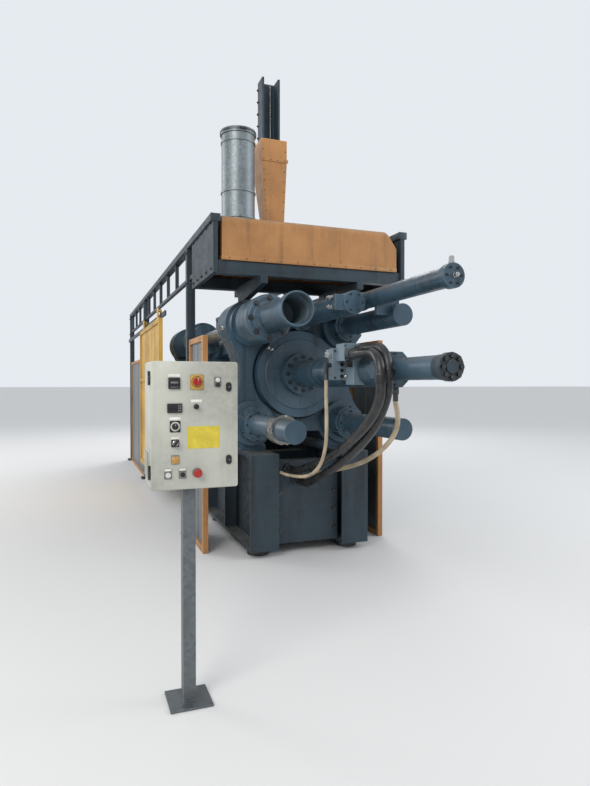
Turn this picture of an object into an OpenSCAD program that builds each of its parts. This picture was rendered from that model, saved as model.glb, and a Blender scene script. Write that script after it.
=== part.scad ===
// Horizontal cold chamber die casting machine, seen from its toggle end.
// The closing axis runs along +Y: closing cylinder, toggle, moving platen, fixed platen, shot end.
// +X is the right hand side seen from the closing cylinder. The origin lies on the floor,
// under the closing axis, at the middle of the machine's length.

/* [Machine] */
// Height of the closing axis above the floor
axis_z = 1600; // [1580:10:1640]
// Distance between the tie bars, sideways and upward
bar_pitch = 900; // [880:10:920]
// Diameter of a tie bar
bar_d = 140; // [130:2:146]
// Thickness of the fixed platen
fixed_t = 330; // [300:10:350]
// Distance between the two die faces when closed
die_gap = 780; // [740:10:800]
// Thickness of a main toggle link
link_t = 100; // [90:2:104]

/* [Closing cylinder] */
// Outside diameter of the closing cylinder
closer_d = 236; // [224:2:240]
// Diameter of the rod cover behind the cylinder
tail_d = 144; // [130:2:150]
// Length of the rod cover
tail_len = 520; // [460:10:560]

/* [Hood and guards] */
// Height of the hood's top edge above the floor
hood_top = 2900; // [2880:10:2960]
// Height of the hood's face
hood_h = 370; // [350:10:380]
// Distance of the posts from the middle plane
rail_x = 875; // [870:5:900]
// Height of the fixed guards
guard_h = 1940; // [1800:20:2000]
// Width of the sliding guard door
door_w = 2200; // [2100:20:2240]

/* [Control box] */
// Width of the control box
box_w = 404; // [396:2:420]
// Height of the control box
box_h = 590; // [586:2:600]
// Depth of the control box
box_d = 230; // [200:2:250]

/* [Hidden] */
$fn = 48;
seat = 0.3;
wall = 3;

// Tie bars
half = bar_pitch / 2;
bar_low = axis_z - half;
bar_high = axis_z + half;
bars = [for (sx = [-1, 1], sz = [-1, 1]) [sx * half, axis_z + sz * half]];

// Stations along the closing axis
cover_end = -3500;
rear_y = -2400;
rear_t = 420;
rear_back = rear_y + rear_t;
move_y = -420;
move_t = 340;
die_y = move_y + move_t;
fixed_y = die_y + die_gap;
fixed_back = fixed_y + fixed_t;
closer_end = -4150;
tail_end = closer_end - tail_len;
shot_end = 4770;

// Bed
bed_top = bar_low - 250;
bed_w = 260;
bed_x = 430;
foot_h = 60;
bed_y0 = -2700;
bed_y1 = 4600;
flange_t = 30;
web_t = 24;

// Colours as in the photograph
petrol = [0.20, 0.33, 0.41];
petrol_dark = [0.12, 0.20, 0.26];
petrol_pale = [0.33, 0.42, 0.48];
orange = [0.72, 0.50, 0.30];
yellow = [0.80, 0.64, 0.25];
steel = [0.62, 0.62, 0.62];
zinc = [0.50, 0.52, 0.53];
box_grey = [0.74, 0.74, 0.70];
black = [0.07, 0.07, 0.08];
pale_rubber = [0.62, 0.58, 0.42];
red = [0.72, 0.10, 0.08];

// A cylinder along +Y from station a to station b
module along(d, a, b, x = 0, z = axis_z) {
    translate([x, a, z]) rotate([-90, 0, 0]) cylinder(d = d, h = b - a);
}

// A box given by its low and high corners
module block(lo, hi) {
    translate(lo) cube(hi - lo);
}

// A flat outline in the XZ plane, made solid from station a to station b
module slab(a, b) {
    translate([0, b, 0]) rotate([90, 0, 0]) linear_extrude(b - a) children();
}

// A flat outline in the YZ plane, made solid across X, with its middle at x
module across(x, t) {
    translate([x - t / 2, 0, 0]) rotate([90, 0, 90]) linear_extrude(t) children();
}

// Bed
bed_len = bed_y1 - bed_y0;
bay_count = 8;

module bed_beam(side) {
    x = side * bed_x;
    color(petrol_dark) {
        block([x - bed_w / 2, bed_y0, foot_h], [x + bed_w / 2, bed_y1, foot_h + flange_t]);
        block([x - bed_w / 2, bed_y0, bed_top - flange_t], [x + bed_w / 2, bed_y1, bed_top]);
        block([x - web_t / 2, bed_y0, foot_h], [x + web_t / 2, bed_y1, bed_top]);
        for (i = [0 : bay_count])
            translate([x - bed_w / 2, bed_y0 + i * (bed_len - web_t) / bay_count, foot_h])
                cube([bed_w, web_t, bed_top - foot_h]);
    }
}

module bed_beam_left() bed_beam(-1);

module bed_beam_right() bed_beam(1);

cross_y = [-2600, -1800, -80, 1200, 2500, 4400];
cross_len = 160;
cross_top = bed_top - 80;

module bed_cross_members() {
    inner = bed_x - bed_w / 2;
    color(petrol_dark) for (y = cross_y)
        block([-inner, y, foot_h + flange_t], [inner, y + cross_len, cross_top]);
}

foot_y = [-2500, -1100, 300, 1700, 3100, 4400];

// Pads with their spindles under both beams, and one under the middle cross member
module levelling_feet() {
    color(steel) {
        for (y = foot_y, sx = [-1, 1]) translate([sx * bed_x, y, 0]) {
            cylinder(d = 200, h = foot_h / 2);
            cylinder(d = 110, h = foot_h);
        }
        cylinder(d = 200, h = foot_h / 2);
        cylinder(d = 110, h = foot_h + flange_t);
    }
}

// Platens
lobe_r = 230;
waist_x = half + 90;
waist_r = 560;
shoulder = 190;
web_front = 250;
knee_z = 330;
link_x = 250;
lug_t = 45;
pin_d = 90;
pin_r = 95;
rear_pin_y = rear_back + 130;
move_pin_y = move_y - 130;

// Four round corners joined by a square with hollow sides
module platen_outline(r) {
    difference() {
        translate([-half - shoulder, bar_low - 90]) square([2 * (half + shoulder), bar_pitch + 180]);
        for (sx = [-1, 1]) translate([sx * (waist_x + waist_r), axis_z]) circle(r = waist_r, $fn = 128);
    }
    for (b = bars) translate(b) circle(r = r, $fn = 64);
}

module bar_holes(a, b) {
    for (p = bars) along(bar_d + 2 * seat, a - 1, b + 1, p[0], p[1]);
}

// Legs that carry a platen on the bed, spread towards their soles
module platen_feet(a, b) {
    for (sx = [-1, 1]) slab(a, b) polygon([
        [sx * bed_x - 120, bed_top], [sx * bed_x + 120, bed_top], [sx * bed_x + 120, bed_top + 40],
        [sx * bed_x + 80, bar_low - 150], [sx * bed_x - 80, bar_low - 150],
        [sx * bed_x - 120, bed_top + 40]]);
}

// Forked lugs that hold the toggle pins, from the platen face to the pin
module toggle_lugs(face_y, pin_y) {
    near = min(face_y, pin_y);
    for (sz = [-1, 1], sx = [-1, 1], side = [-1, 1])
        translate([0, 0, axis_z + sz * knee_z])
            across(sx * link_x + side * (link_t + lug_t + 2 * seat) / 2, lug_t) difference() {
                union() {
                    translate([near, -pin_r]) square([abs(face_y - pin_y), 2 * pin_r]);
                    translate([pin_y, 0]) circle(r = pin_r);
                }
                translate([pin_y, 0]) circle(d = pin_d + 2 * seat);
            }
}

pad_y = rear_y + 60;
upper_x = 30;
upper_z = bar_high + 75;
upper_d = 178;
boss_r = 400;
groove = 26;
hub_r = lobe_r - 30;
front_y = rear_y + 90;
recess = 70;

// Windows between the ribs on the toggle side of the rear platen
module rear_windows() {
    for (sx = [-1, 1]) block([min(sx * 60, sx * 160), rear_back - recess, axis_z - 560],
        [max(sx * 60, sx * 160), rear_back + 1, axis_z + 560]);
    block([-waist_x + 60, rear_back - recess, axis_z - 150], [-380, rear_back + 1, axis_z + 150]);
    block([380, rear_back - recess, axis_z - 150], [waist_x - 60, rear_back + 1, axis_z + 150]);
}

module rear_platen() {
    color(petrol) difference() {
        union() {
            slab(front_y, rear_back) platen_outline(lobe_r);
            for (p = bars) along(2 * hub_r, rear_y, rear_back - 1, p[0], p[1]);
            along(2 * boss_r, rear_y, rear_back - 1, $fn = 96);
            along(upper_d + 60, pad_y, rear_back - 1, upper_x, upper_z);
            platen_feet(pad_y, rear_back);
            toggle_lugs(rear_back - 1, rear_pin_y);
        }
        slab(front_y - 1, front_y + 60) intersection() {
            translate([0, axis_z]) difference() {
                circle(r = boss_r + groove, $fn = 96);
                circle(r = boss_r, $fn = 96);
            }
            square([2 * waist_x - 60, 4 * axis_z], center = true);
        }
        rear_windows();
        bar_holes(rear_y, rear_back);
        along(closer_d - 36, rear_y - 1, rear_back + 1);
    }
}

plate_t = 170;
slot_w = 36;
slot_z = [-270, -90, 90, 270];

// Clamping slots across a die face
module die_slots(y, into) {
    for (z = slot_z) {
        block([-half - 300, min(y, y + into * 30), axis_z + z - slot_w / 2],
              [half + 300, max(y, y + into * 30), axis_z + z + slot_w / 2]);
        block([-half - 300, min(y + into * 29, y + into * 60), axis_z + z - slot_w],
              [half + 300, max(y + into * 29, y + into * 60), axis_z + z + slot_w]);
    }
}

ejector_d = 180;

module moving_platen() {
    color(petrol) difference() {
        union() {
            slab(die_y - plate_t, die_y) platen_outline(lobe_r - 10);
            for (p = bars) along(2 * (hub_r - 20), move_y, die_y, p[0], p[1]);
            for (sx = [-1, 1])
                block([sx * link_x - 100, move_y, bar_low - 60],
                      [sx * link_x + 100, die_y - 1, bar_high + 60]);
            block([-half, move_y + 60, axis_z - 120], [half, die_y - 1, axis_z + 120]);
            platen_feet(move_y + 60, die_y);
            toggle_lugs(move_y + 1, move_pin_y);
        }
        bar_holes(move_y, die_y);
        along(ejector_d + 2 * seat, move_y - 1, move_y + 120);
        die_slots(die_y + 1, -1);
    }
}

sleeve_z = axis_z - 180;
sleeve_d = 170;
sleeve_bore = 90;

module fixed_platen() {
    color(petrol) difference() {
        union() {
            slab(fixed_y, fixed_back) platen_outline(lobe_r);
            platen_feet(fixed_y, fixed_back);
        }
        bar_holes(fixed_y, fixed_back);
        along(sleeve_d + 2 * seat, fixed_y - 1, fixed_back + 1, 0, sleeve_z);
        die_slots(fixed_y - 1, 1);
    }
}

// Tie bars, their nuts and covers
rear_nut_t = 150;
rear_nut_d = 300;
front_nut_t = 190;
front_nut_d = 270;
bar_tail = -3380;
puller_bar_tail = -2950;
nut_face = rear_y - rear_nut_t;
cover_d = 176;
ring_d = 232;
ring_y = -3260;
ring_t = 120;

module tie_bars() {
    color(steel) for (p = bars) {
        covered = p[0] > 0 || p[1] < axis_z;
        along(bar_d, covered ? bar_tail : puller_bar_tail, fixed_back + front_nut_t + 20, p[0], p[1]);
    }
}

// A round nut with spanner grooves round its rim
module bar_nut(a, b, d, p) {
    difference() {
        along(d, a, b, p[0], p[1]);
        along(bar_d + 2 * seat, a - 1, b + 1, p[0], p[1]);
        for (t = [0 : 60 : 300]) translate([p[0], 0, p[1]]) rotate([0, t, 0])
            block([-14, a - 1, d / 2 - 12], [14, b - 40, d / 2 + 1]);
    }
}

// Nuts behind and in front of the platens, and a slotted ring on the lower left cover
module tie_bar_nuts() {
    color(steel) for (p = bars) {
        bar_nut(nut_face, rear_y, rear_nut_d, p);
        bar_nut(fixed_back, fixed_back + front_nut_t, front_nut_d, p);
    }
    color(steel) difference() {
        along(ring_d, ring_y, ring_y + ring_t, -half, bar_low);
        along(cover_d + 2 * seat, ring_y - 1, ring_y + ring_t + 1, -half, bar_low);
        for (t = [0 : 90 : 270]) translate([-half, 0, bar_low]) rotate([0, t, 0])
            block([-20, ring_y - 1, ring_d / 2 - 14], [20, ring_y + 50, ring_d / 2 + 1]);
    }
}

// A closed tube over the end of a tie bar, with a flange on the nut
module bar_cover(p) {
    difference() {
        union() {
            along(cover_d, cover_end, nut_face, p[0], p[1]);
            along(cover_d + 70, nut_face - 24, nut_face, p[0], p[1]);
        }
        along(bar_d + 12, cover_end + 14, nut_face + 1, p[0], p[1]);
    }
}

module bar_covers() {
    color(petrol_pale) {
        bar_cover([-half, bar_low]);
        bar_cover([half, bar_low]);
        bar_cover([half, bar_high]);
    }
}

puller_r = 130;
puller_len = 1000;
drum_r = 200;
drum_len = 350;
neck_r = 109;

// Turned housing over the upper left tie bar: drum, neck and an open collar at its outer end
module bar_puller() {
    bore_r = bar_d / 2 + 6;
    color(petrol) translate([-half, nut_face, bar_high]) rotate([90, 0, 0])
        rotate_extrude($fn = 64) polygon([
            [bore_r, 0], [drum_r, 0], [drum_r, drum_len - 20], [drum_r - 20, drum_len],
            [neck_r + 30, drum_len], [neck_r, drum_len + 40],
            [neck_r, puller_len - 100], [puller_r, puller_len - 80], [puller_r, puller_len],
            [puller_r - 12, puller_len], [puller_r - 12, puller_len - 70], [neck_r - 12, puller_len - 90],
            [neck_r - 12, 640], [0, 640], [0, 620], [bore_r, 620]]);
}

// Closing cylinder and what sits on it
rod_d = 110;
rod_start = closer_end + 200;
cross_y0 = -1500;
cross_t = 140;
cap_w = closer_d - 2;
cap_t = 120;

module octagon(w, cut) {
    h = w / 2;
    polygon([[-h + cut, -h], [h - cut, -h], [h, -h + cut], [h, h - cut], [h - cut, h],
        [-h + cut, h], [-h, h - cut], [-h, -h + cut]]);
}

module closing_cylinder() {
    color(petrol) difference() {
        union() {
            along(closer_d, closer_end + cap_t - 1, rear_y, $fn = 64);
            translate([0, 0, axis_z]) slab(closer_end, closer_end + cap_t) octagon(cap_w, 60);
            along(closer_d + 140, rear_y - 110, rear_y);
            along(closer_d + 30, -3000, -2960);
        }
        along(rod_d + 2 * seat, rod_start, rear_y + 1);
    }
}

module cylinder_tail() {
    color(petrol_pale) {
        along(tail_d, tail_end, closer_end);
        along(tail_d + 40, closer_end - 26, closer_end);
        along(tail_d + 20, tail_end - 100, tail_end - 60);
        along(tail_d + 4, tail_end - 60, tail_end);
    }
}

module upper_cylinder() {
    color(petrol) {
        along(upper_d, cover_end, pad_y, upper_x, upper_z);
        along(upper_d + 60, pad_y - 40, pad_y, upper_x, upper_z);
        block([upper_x - 150, cover_end + 30, upper_z - 60], [upper_x, cover_end + 120, upper_z + 60]);
    }
}

side_x = 250;
side_z = bar_high + 130;
side_d = 136;
side_end = -4440;
strap_y = -3440;
strap_t = 40;

// Long cylinder above the upper right cover, held by the platen's hub and a strap
module side_cylinder() {
    color(petrol) {
        along(side_d, side_end, rear_y, side_x, side_z);
        along(side_d + 24, side_end, side_end + 60, side_x, side_z);
        along(side_d + 16, -3200, -3150, side_x, side_z);
        difference() {
            block([side_x, strap_y, bar_high], [half, strap_y + strap_t, side_z]);
            along(cover_d + 2 * seat, strap_y - 1, strap_y + strap_t + 1, half, bar_high);
        }
    }
}

valve_y = closer_end + 430;
valve_len = 70;
port_len = 130;
port_face = valve_y - port_len;
valve_x = -250;

module valve_block() {
    color(petrol_pale) difference() {
        block([valve_x, valve_y, axis_z - 65], [-40, valve_y + valve_len, axis_z + 158]);
        along(closer_d + 2 * seat, valve_y - 1, valve_y + valve_len + 1);
        for (z = [-40 : 42 : 128]) along(18, valve_y - 1, valve_y + 14, -180, axis_z + z);
    }
}

module port_block() {
    color(petrol_dark) difference() {
        block([-225, port_face, axis_z - 100], [-40, valve_y, axis_z + 186]);
        block([-226, port_face - 1, axis_z - 101], [-150, valve_y + 1, axis_z + 66]);
        along(closer_d + 2 * seat, port_face - 1, valve_y + 1);
    }
}

// Toggle, stretched in one line on each side of the closing axis
knee_y = (rear_pin_y + move_pin_y) / 2;
fork_t = 40;
fork_x = (link_t + fork_t) / 2 + seat;
arm_x = 110;
arm_t = 56;
arm_z = 90;
short_pin_d = 50;
cross_pin_y = cross_y0 + cross_t / 2;

module closing_rod() {
    color(steel) along(rod_d, rod_start + 5, cross_y0);
}

// Both sides of the closing axis, above and below
module mirrored() {
    for (sz = [0, 1]) translate([0, 0, axis_z]) mirror([0, 0, sz]) children();
}

// A link outline between two stations at height z: round eyes, a narrower shank and pin holes
module link_outline(a, b, z, hole_a, hole_b) {
    difference() {
        union() {
            translate([a, z]) circle(r = pin_r);
            translate([b, z]) circle(r = pin_r);
            translate([a, z - 70]) square([b - a, 140]);
        }
        translate([a, z]) circle(d = hole_a);
        translate([b, z]) circle(d = hole_b);
    }
}

module rear_links() {
    hole = pin_d + 2 * seat;
    color(petrol) mirrored() for (sx = [-1, 1])
        difference() {
            across(sx * link_x, link_t) link_outline(rear_pin_y, knee_y, knee_z, hole, hole);
            for (s = [-1, 1]) across(sx * link_x + s * link_t / 2, 40)
                translate([rear_pin_y + 130, knee_z - 40]) square([knee_y - rear_pin_y - 260, 80]);
        }
}

// The front links fork round the rear links' eyes at the knee
module front_links() {
    hole = pin_d + 2 * seat;
    color(petrol) mirrored() for (sx = [-1, 1]) {
        for (s = [-1, 1]) across(sx * link_x + s * fork_x, fork_t) difference() {
            union() {
                translate([knee_y, knee_z]) circle(r = pin_r);
                translate([knee_y, knee_z - 70]) square([240, 140]);
            }
            translate([knee_y, knee_z]) circle(d = hole);
        }
        across(sx * link_x, link_t + 2 * seat + 2 * fork_t)
            translate([knee_y + 130, knee_z - 70]) square([110, 140]);
        across(sx * link_x, link_t) difference() {
            union() {
                translate([move_pin_y, knee_z]) circle(r = pin_r);
                translate([knee_y + 150, knee_z - 70]) square([move_pin_y - knee_y - 150, 140]);
            }
            translate([move_pin_y, knee_z]) circle(d = hole);
        }
    }
}

// Short links from the crosshead to the knee pins, leaning outward
module short_links() {
    d = [knee_y - cross_pin_y, knee_z - arm_z];
    color(petrol) mirrored() for (x = [-arm_x, arm_x])
        translate([0, 0, arm_z]) across(x, arm_t) translate([cross_pin_y, 0]) rotate(atan2(d[1], d[0]))
            difference() {
                union() {
                    circle(d = 110);
                    translate([0, -36]) square([norm(d), 72]);
                    translate([norm(d), 0]) circle(d = 140);
                }
                circle(d = short_pin_d + 2 * seat);
                translate([norm(d), 0]) circle(d = pin_d + 2 * seat);
            }
}

module cross_pin(y, z, d, from, to) {
    translate([from, y, z]) rotate([0, 90, 0]) cylinder(d = d, h = to - from);
}

module toggle_pins() {
    outer = link_x + link_t / 2 + lug_t + seat;
    inner = link_x - link_t / 2 - lug_t - seat;
    color(steel) mirrored() {
        for (y = [rear_pin_y, move_pin_y]) {
            cross_pin(y, knee_z, pin_d, inner, outer);
            cross_pin(y, knee_z, pin_d, -outer, -inner);
        }
        cross_pin(knee_y, knee_z, pin_d, -outer, outer);
        cross_pin(cross_pin_y, arm_z, short_pin_d, -200, 200);
    }
}

module crosshead() {
    color(petrol_dark) difference() {
        union() {
            block([-200, cross_y0, axis_z - 150], [200, cross_y0 + cross_t, axis_z + 150]);
            along(210, cross_y0, cross_y0 + cross_t + 40);
        }
        mirrored() for (x = [-arm_x, arm_x])
            block([x - 32, cross_y0 - 1, 25], [x + 32, cross_y0 + cross_t + 41, 160]);
        mirrored() cross_pin(cross_pin_y, arm_z, short_pin_d + 2 * seat, -201, 201);
    }
}

module ejector_cylinder() {
    color(petrol_pale) {
        along(ejector_d, move_y - 420, move_y + 120);
        along(ejector_d + 50, move_y - 440, move_y - 380);
    }
}

// Hood over the toggle, with the frame below it
hood_low = hood_top - hood_h;
hood_y0 = -2775;
hood_y1 = -1850;
hood_x0 = -820;
hood_x1 = 810;
hood_cut = [110, 160];
hood_round = 60;
sheet = 4;
beam_h = 110;
beam_w = 100;

// The hood's outer form, drawn in by g on every side but the open bottom
module hood_form(g) {
    low = hood_low - (g > 0 ? 1 : 0);
    top = hood_top - g;
    r = hood_round - g;
    intersection() {
        slab(hood_y0, hood_y1) polygon([[hood_x0 + g, low], [hood_x1 - g, low],
            [hood_x1 - g, top - hood_cut[1]], [hood_x1 - g - hood_cut[0], top], [hood_x0 + g, top]]);
        across(0, 2 * hood_x1 + 100) {
            translate([hood_y0 + g, low]) square([hood_y1 - hood_y0 - 2 * g, hood_top - hood_round - low]);
            translate([hood_y0 + hood_round, low]) square([hood_y1 - hood_y0 - 2 * hood_round, top - low]);
            for (y = [hood_y0 + hood_round, hood_y1 - hood_round])
                translate([y, hood_top - hood_round]) circle(r = r);
        }
    }
}

module top_hood() {
    color(orange) difference() {
        hood_form(0);
        hood_form(sheet);
    }
}

side_t = 40;
bracket_x = [-480, 420];
bracket_t = 60;

// Two beams between the rail's side plates, and brackets on the platen's corner lobes
module hood_frame() {
    reach = rail_x - side_t / 2;
    beam_low = hood_low - beam_h;
    foot_z = bar_high + lobe_r + seat;
    color(petrol_dark) {
        for (y = [hood_y0 + 15, hood_y1 - beam_w - 15])
            block([-reach, y, beam_low], [reach, y + beam_w, hood_low]);
        for (x = bracket_x) across(x + bracket_t / 2, bracket_t)
            polygon([[rear_back - 20, foot_z], [rear_back - 20, beam_low - 60],
                [hood_y1 - 15, beam_low - 60], [hood_y1 - 15, beam_low + 20],
                [hood_y0 + 15, beam_low + 20], [hood_y0 + 15, beam_low - 60], [rear_back - 160, foot_z]]);
    }
}

duct_x = -610;
duct_y = -2500;
duct_d = 290;
duct_h = 800;

// Sheet-metal stub for the extraction duct, with beads and an end collar
module duct_spigot() {
    color(zinc) translate([duct_x, duct_y, hood_top]) difference() {
        union() {
            cylinder(d = duct_d, h = duct_h);
            cylinder(d = duct_d + 60, h = 6);
            for (z = [150, 470]) translate([0, 0, z]) cylinder(d = duct_d + 16, h = 24);
            translate([0, 0, duct_h - 40]) cylinder(d = duct_d + 24, h = 40);
        }
        translate([0, 0, 6]) cylinder(d = duct_d - 2 * wall, h = duct_h);
    }
}

column_x = -270;
column_y = -2480;
column_h = 800;
column_top_w = 240;
column_top_t = 280;
column_foot_w = 180;
column_foot_t = 110;

// Sheet-metal box that widens upward on the hood
module lift_column() {
    top = hood_top + column_h;
    neck = top - 200;
    color(orange) intersection() {
        slab(column_y, column_y + column_top_t) polygon([
            [column_x - column_foot_w / 2, hood_top], [column_x + column_foot_w / 2, hood_top],
            [column_x + column_top_w / 2, neck], [column_x + column_top_w / 2, top],
            [column_x - column_top_w / 2, top], [column_x - column_top_w / 2, neck]]);
        across(column_x, column_top_w) polygon([[column_y, hood_top],
            [column_y + column_foot_t, hood_top], [column_y + column_top_t, neck],
            [column_y + column_top_t, top], [column_y, top]]);
    }
}

mast_w = 170;
mast_t = 140;
mast_h = 590;

// Channel-section mast on the column
module lift_mast() {
    x = column_x - mast_w / 2;
    y = column_y + 90;
    z = hood_top + column_h;
    color(petrol_dark) difference() {
        block([x, y, z], [x + mast_w, y + mast_t, z + mast_h]);
        block([x + 20, y - 1, z + 40], [x + mast_w - 20, y + mast_t - 20, z + mast_h + 1]);
    }
}

// Railing along the top on its posts
post_w = 80;
rail_y0 = hood_y0;
rail_y1 = 4700;
post_y = [-1700, 2120, 4600];
rail_h = 60;
rung_w = 36;
rung_count = 10;
track_z = 2400;
track_t = 20;
track_h = 60;

module rail(side) {
    x = side * rail_x;
    run = rail_y1 - hood_y1;
    color(petrol_dark) {
        block([x - post_w / 2, rail_y0, hood_top - rail_h], [x + post_w / 2, rail_y1, hood_top]);
        block([x - rung_w / 2, hood_y1 - 1, hood_low], [x + rung_w / 2, rail_y1, hood_low + rung_w]);
        for (i = [1 : rung_count])
            block([x - rung_w / 2, hood_y1 + (i - 0.5) * run / rung_count, hood_low + 1],
                  [x + rung_w / 2, hood_y1 + (i - 0.5) * run / rung_count + rung_w, hood_top - 1]);
        for (y = post_y) block([x - post_w / 2, y, 0], [x + post_w / 2, y + post_w, hood_top - 1]);
        block([x - side_t / 2, hood_y0, hood_low - beam_h], [x + side_t / 2, hood_y1, hood_top - 1]);
    }
}

module rail_left() {
    rail(-1);
    color(steel)
        block([-rail_x - post_w / 2 - track_t, -300, track_z - track_h],
              [-rail_x - post_w / 2, rail_y1, track_z]);
}

module rail_right() rail(1);

// Guards: tube frames, with a sheet seated in a slot of the tubes
tube_w = 50;
guard_start = -2360;
tall_guard_h = track_z - 60;
guards = [
    [-1, guard_start, post_y[0], guard_h], [-1, post_y[1] + post_w, post_y[2], guard_h],
    [1, guard_start, post_y[0], guard_h], [1, post_y[0] + post_w, post_y[1], tall_guard_h],
    [1, post_y[1] + post_w, post_y[2], guard_h]];

module guard_tubes(x, a, b, low, high) {
    for (y = [a, b - tube_w])
        block([x - tube_w / 2, y, low], [x + tube_w / 2, y + tube_w, high]);
    for (z = [low, high - tube_w])
        block([x - tube_w / 2, a, z], [x + tube_w / 2, b, z + tube_w]);
}

module guard_frames() {
    color(orange) for (g = guards) guard_tubes(g[0] * rail_x, g[1], g[2], 0, g[3]);
}

module guard_sheets() {
    color(zinc) for (g = guards)
        block([g[0] * rail_x - wall / 2, g[1] + tube_w, tube_w],
              [g[0] * rail_x + wall / 2, g[2] - tube_w, g[3] - tube_w]);
}

door_x = -rail_x - 95;
door_y0 = -200;
door_y1 = door_y0 + door_w;
door_low = 300;
door_high = track_z - 80;
roller_d = 60;
roller_t = 18;

// Framed sheet door on two rollers, with a stiffening fold and a bow handle
module guard_door() {
    color(yellow) {
        guard_tubes(door_x, door_y0, door_y1, door_low, door_high);
        block([door_x - tube_w / 2, door_y0 + 1, axis_z - tube_w],
              [door_x + tube_w / 2, door_y1 - 1, axis_z]);
        block([door_x - wall / 2, door_y0 + 1, door_low + 1],
              [door_x + wall / 2, door_y1 - 1, door_high - 1]);
        for (z = [1050, 1340]) block([door_x - 60, door_y0 + 10, z], [door_x, door_y0 + 30, z + 20]);
        block([door_x - 60, door_y0 + 10, 1050], [door_x - 45, door_y0 + 30, 1360]);
        for (y = [door_y0 + 300, door_y1 - 300])
            block([door_x - 2, y - 60, door_high - tube_w], [door_x + 10, y + 60, track_z + 70]);
    }
    color(steel) for (y = [door_y0 + 300, door_y1 - 300])
        translate([door_x + 9, y, track_z + seat + roller_d / 2]) rotate([0, 90, 0]) {
            cylinder(d = 16, h = 40);
            translate([0, 0, 40 - roller_t]) cylinder(d = roller_d, h = roller_t);
        }
}

// Shot end
shot_wall_y = fixed_back + 1350;
shot_wall_t = 160;
shot_d = 250;
shot_y1 = shot_end - 470;
shot_rod_d = 80;
saddle_y = 3900;
arm_w = 120;
arm_at = 230;
wall_half = 360;

// Two arms from the fixed platen to an upright wall, and a saddle for the cylinder's tail
module shot_frame() {
    wall_back = shot_wall_y + shot_wall_t;
    color(petrol) {
        for (sx = [-1, 1])
            block([sx * arm_at - arm_w / 2, fixed_back, bed_top + 60],
                  [sx * arm_at + arm_w / 2, shot_wall_y + 1, sleeve_z - 150]);
        difference() {
            union() {
                block([-wall_half, shot_wall_y, bed_top], [wall_half, wall_back, sleeve_z]);
                along(2 * wall_half, shot_wall_y, wall_back, 0, sleeve_z, $fn = 96);
            }
            along(shot_rod_d + 2, shot_wall_y - 1, wall_back + 1, 0, sleeve_z);
            block([-wall_half - 1, shot_wall_y - 1, bed_top - 100], [wall_half + 1, wall_back + 1, bed_top]);
        }
        difference() {
            slab(saddle_y, saddle_y + arm_w) polygon([[-wall_half, bed_top], [wall_half, bed_top],
                [wall_half, bed_top + 60], [190, sleeve_z + 40], [-190, sleeve_z + 40],
                [-wall_half, bed_top + 60]]);
            along(shot_d + 2 * seat, saddle_y - 1, saddle_y + arm_w + 1, 0, sleeve_z);
        }
    }
}

sleeve_len = 600;

// Shot sleeve with its pouring hole
module shot_sleeve() {
    back = fixed_back + sleeve_len;
    mouth = [back - 200, back - 60];
    color(steel) difference() {
        along(sleeve_d, fixed_y, back, 0, sleeve_z);
        along(sleeve_bore, fixed_y - 1, back + 1, 0, sleeve_z);
        block([-sleeve_bore / 2, mouth[0], sleeve_z], [sleeve_bore / 2, mouth[1], sleeve_z + sleeve_d]);
    }
}

module shot_rod() {
    back = fixed_back + sleeve_len;
    color(steel) {
        along(sleeve_bore - 2 * seat, back - 50, back + 60, 0, sleeve_z);
        along(shot_rod_d, back + 60, shot_wall_y + shot_wall_t + 100, 0, sleeve_z);
        along(shot_rod_d + 50, shot_wall_y - 200, shot_wall_y - 110, 0, sleeve_z);
    }
}

module shot_cylinder() {
    y = shot_wall_y + shot_wall_t;
    color(petrol) difference() {
        union() {
            along(shot_d, y, shot_y1, 0, sleeve_z);
            along(shot_d + 90, y, y + 80, 0, sleeve_z);
            translate([0, 0, sleeve_z]) slab(shot_y1, shot_y1 + 110) octagon(shot_d + 70, 70);
            along(shot_d - 60, shot_y1 + 110, shot_end, 0, sleeve_z);
        }
        along(shot_rod_d + 2 * seat, y - 1, y + 105, 0, sleeve_z);
    }
}

bottle_d = 230;
bottle_gap = 280;
bottle_h = 1300;
bottle_y = [for (i = [0 : 2]) shot_wall_y + 520 + i * bottle_gap];

module accumulators() {
    r = bottle_d / 2;
    color(petrol_pale) for (y = bottle_y)
        translate([bed_x, y, bed_top]) rotate_extrude() {
            square([r, bottle_h]);
            intersection() {
                translate([0, bottle_h]) circle(r = r);
                translate([0, bottle_h - 1]) square([r, r + 1]);
            }
            translate([0, bottle_h]) square([45, r + 50]);
        }
}

tank_y = [shot_wall_y + 370, shot_y1];
tank_top = bed_top - 60;

module oil_tank() {
    inner = bed_x - bed_w / 2;
    color(petrol_dark) {
        block([-inner, tank_y[0], 80], [inner, tank_y[1], tank_top]);
        for (sx = [-1, 1], y = [tank_y[0], tank_y[1] - 100])
            block([sx * (inner - 50) - 50, y, 0], [sx * (inner - 50) + 50, y + 100, 81]);
    }
}

motor_d = 300;
motor_z = tank_top + motor_d / 2 + 20;
motor_y = tank_y[0] + 90;
motor_len = 490;

// Electric motor on its foot, with the pump at its end
module pump_motor() {
    color(petrol_pale) {
        motor_end = motor_y + motor_len;
        along(motor_d, motor_y, motor_end, 0, motor_z);
        along(motor_d - 30, motor_y - 40, motor_y, 0, motor_z);
        along(motor_d + 20, motor_end, motor_end + 20, 0, motor_z);
        along(170, motor_end + 20, motor_end + 230, 0, motor_z);
        block([-130, motor_y + 40, tank_top], [130, motor_end - 50, motor_z]);
    }
}

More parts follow.
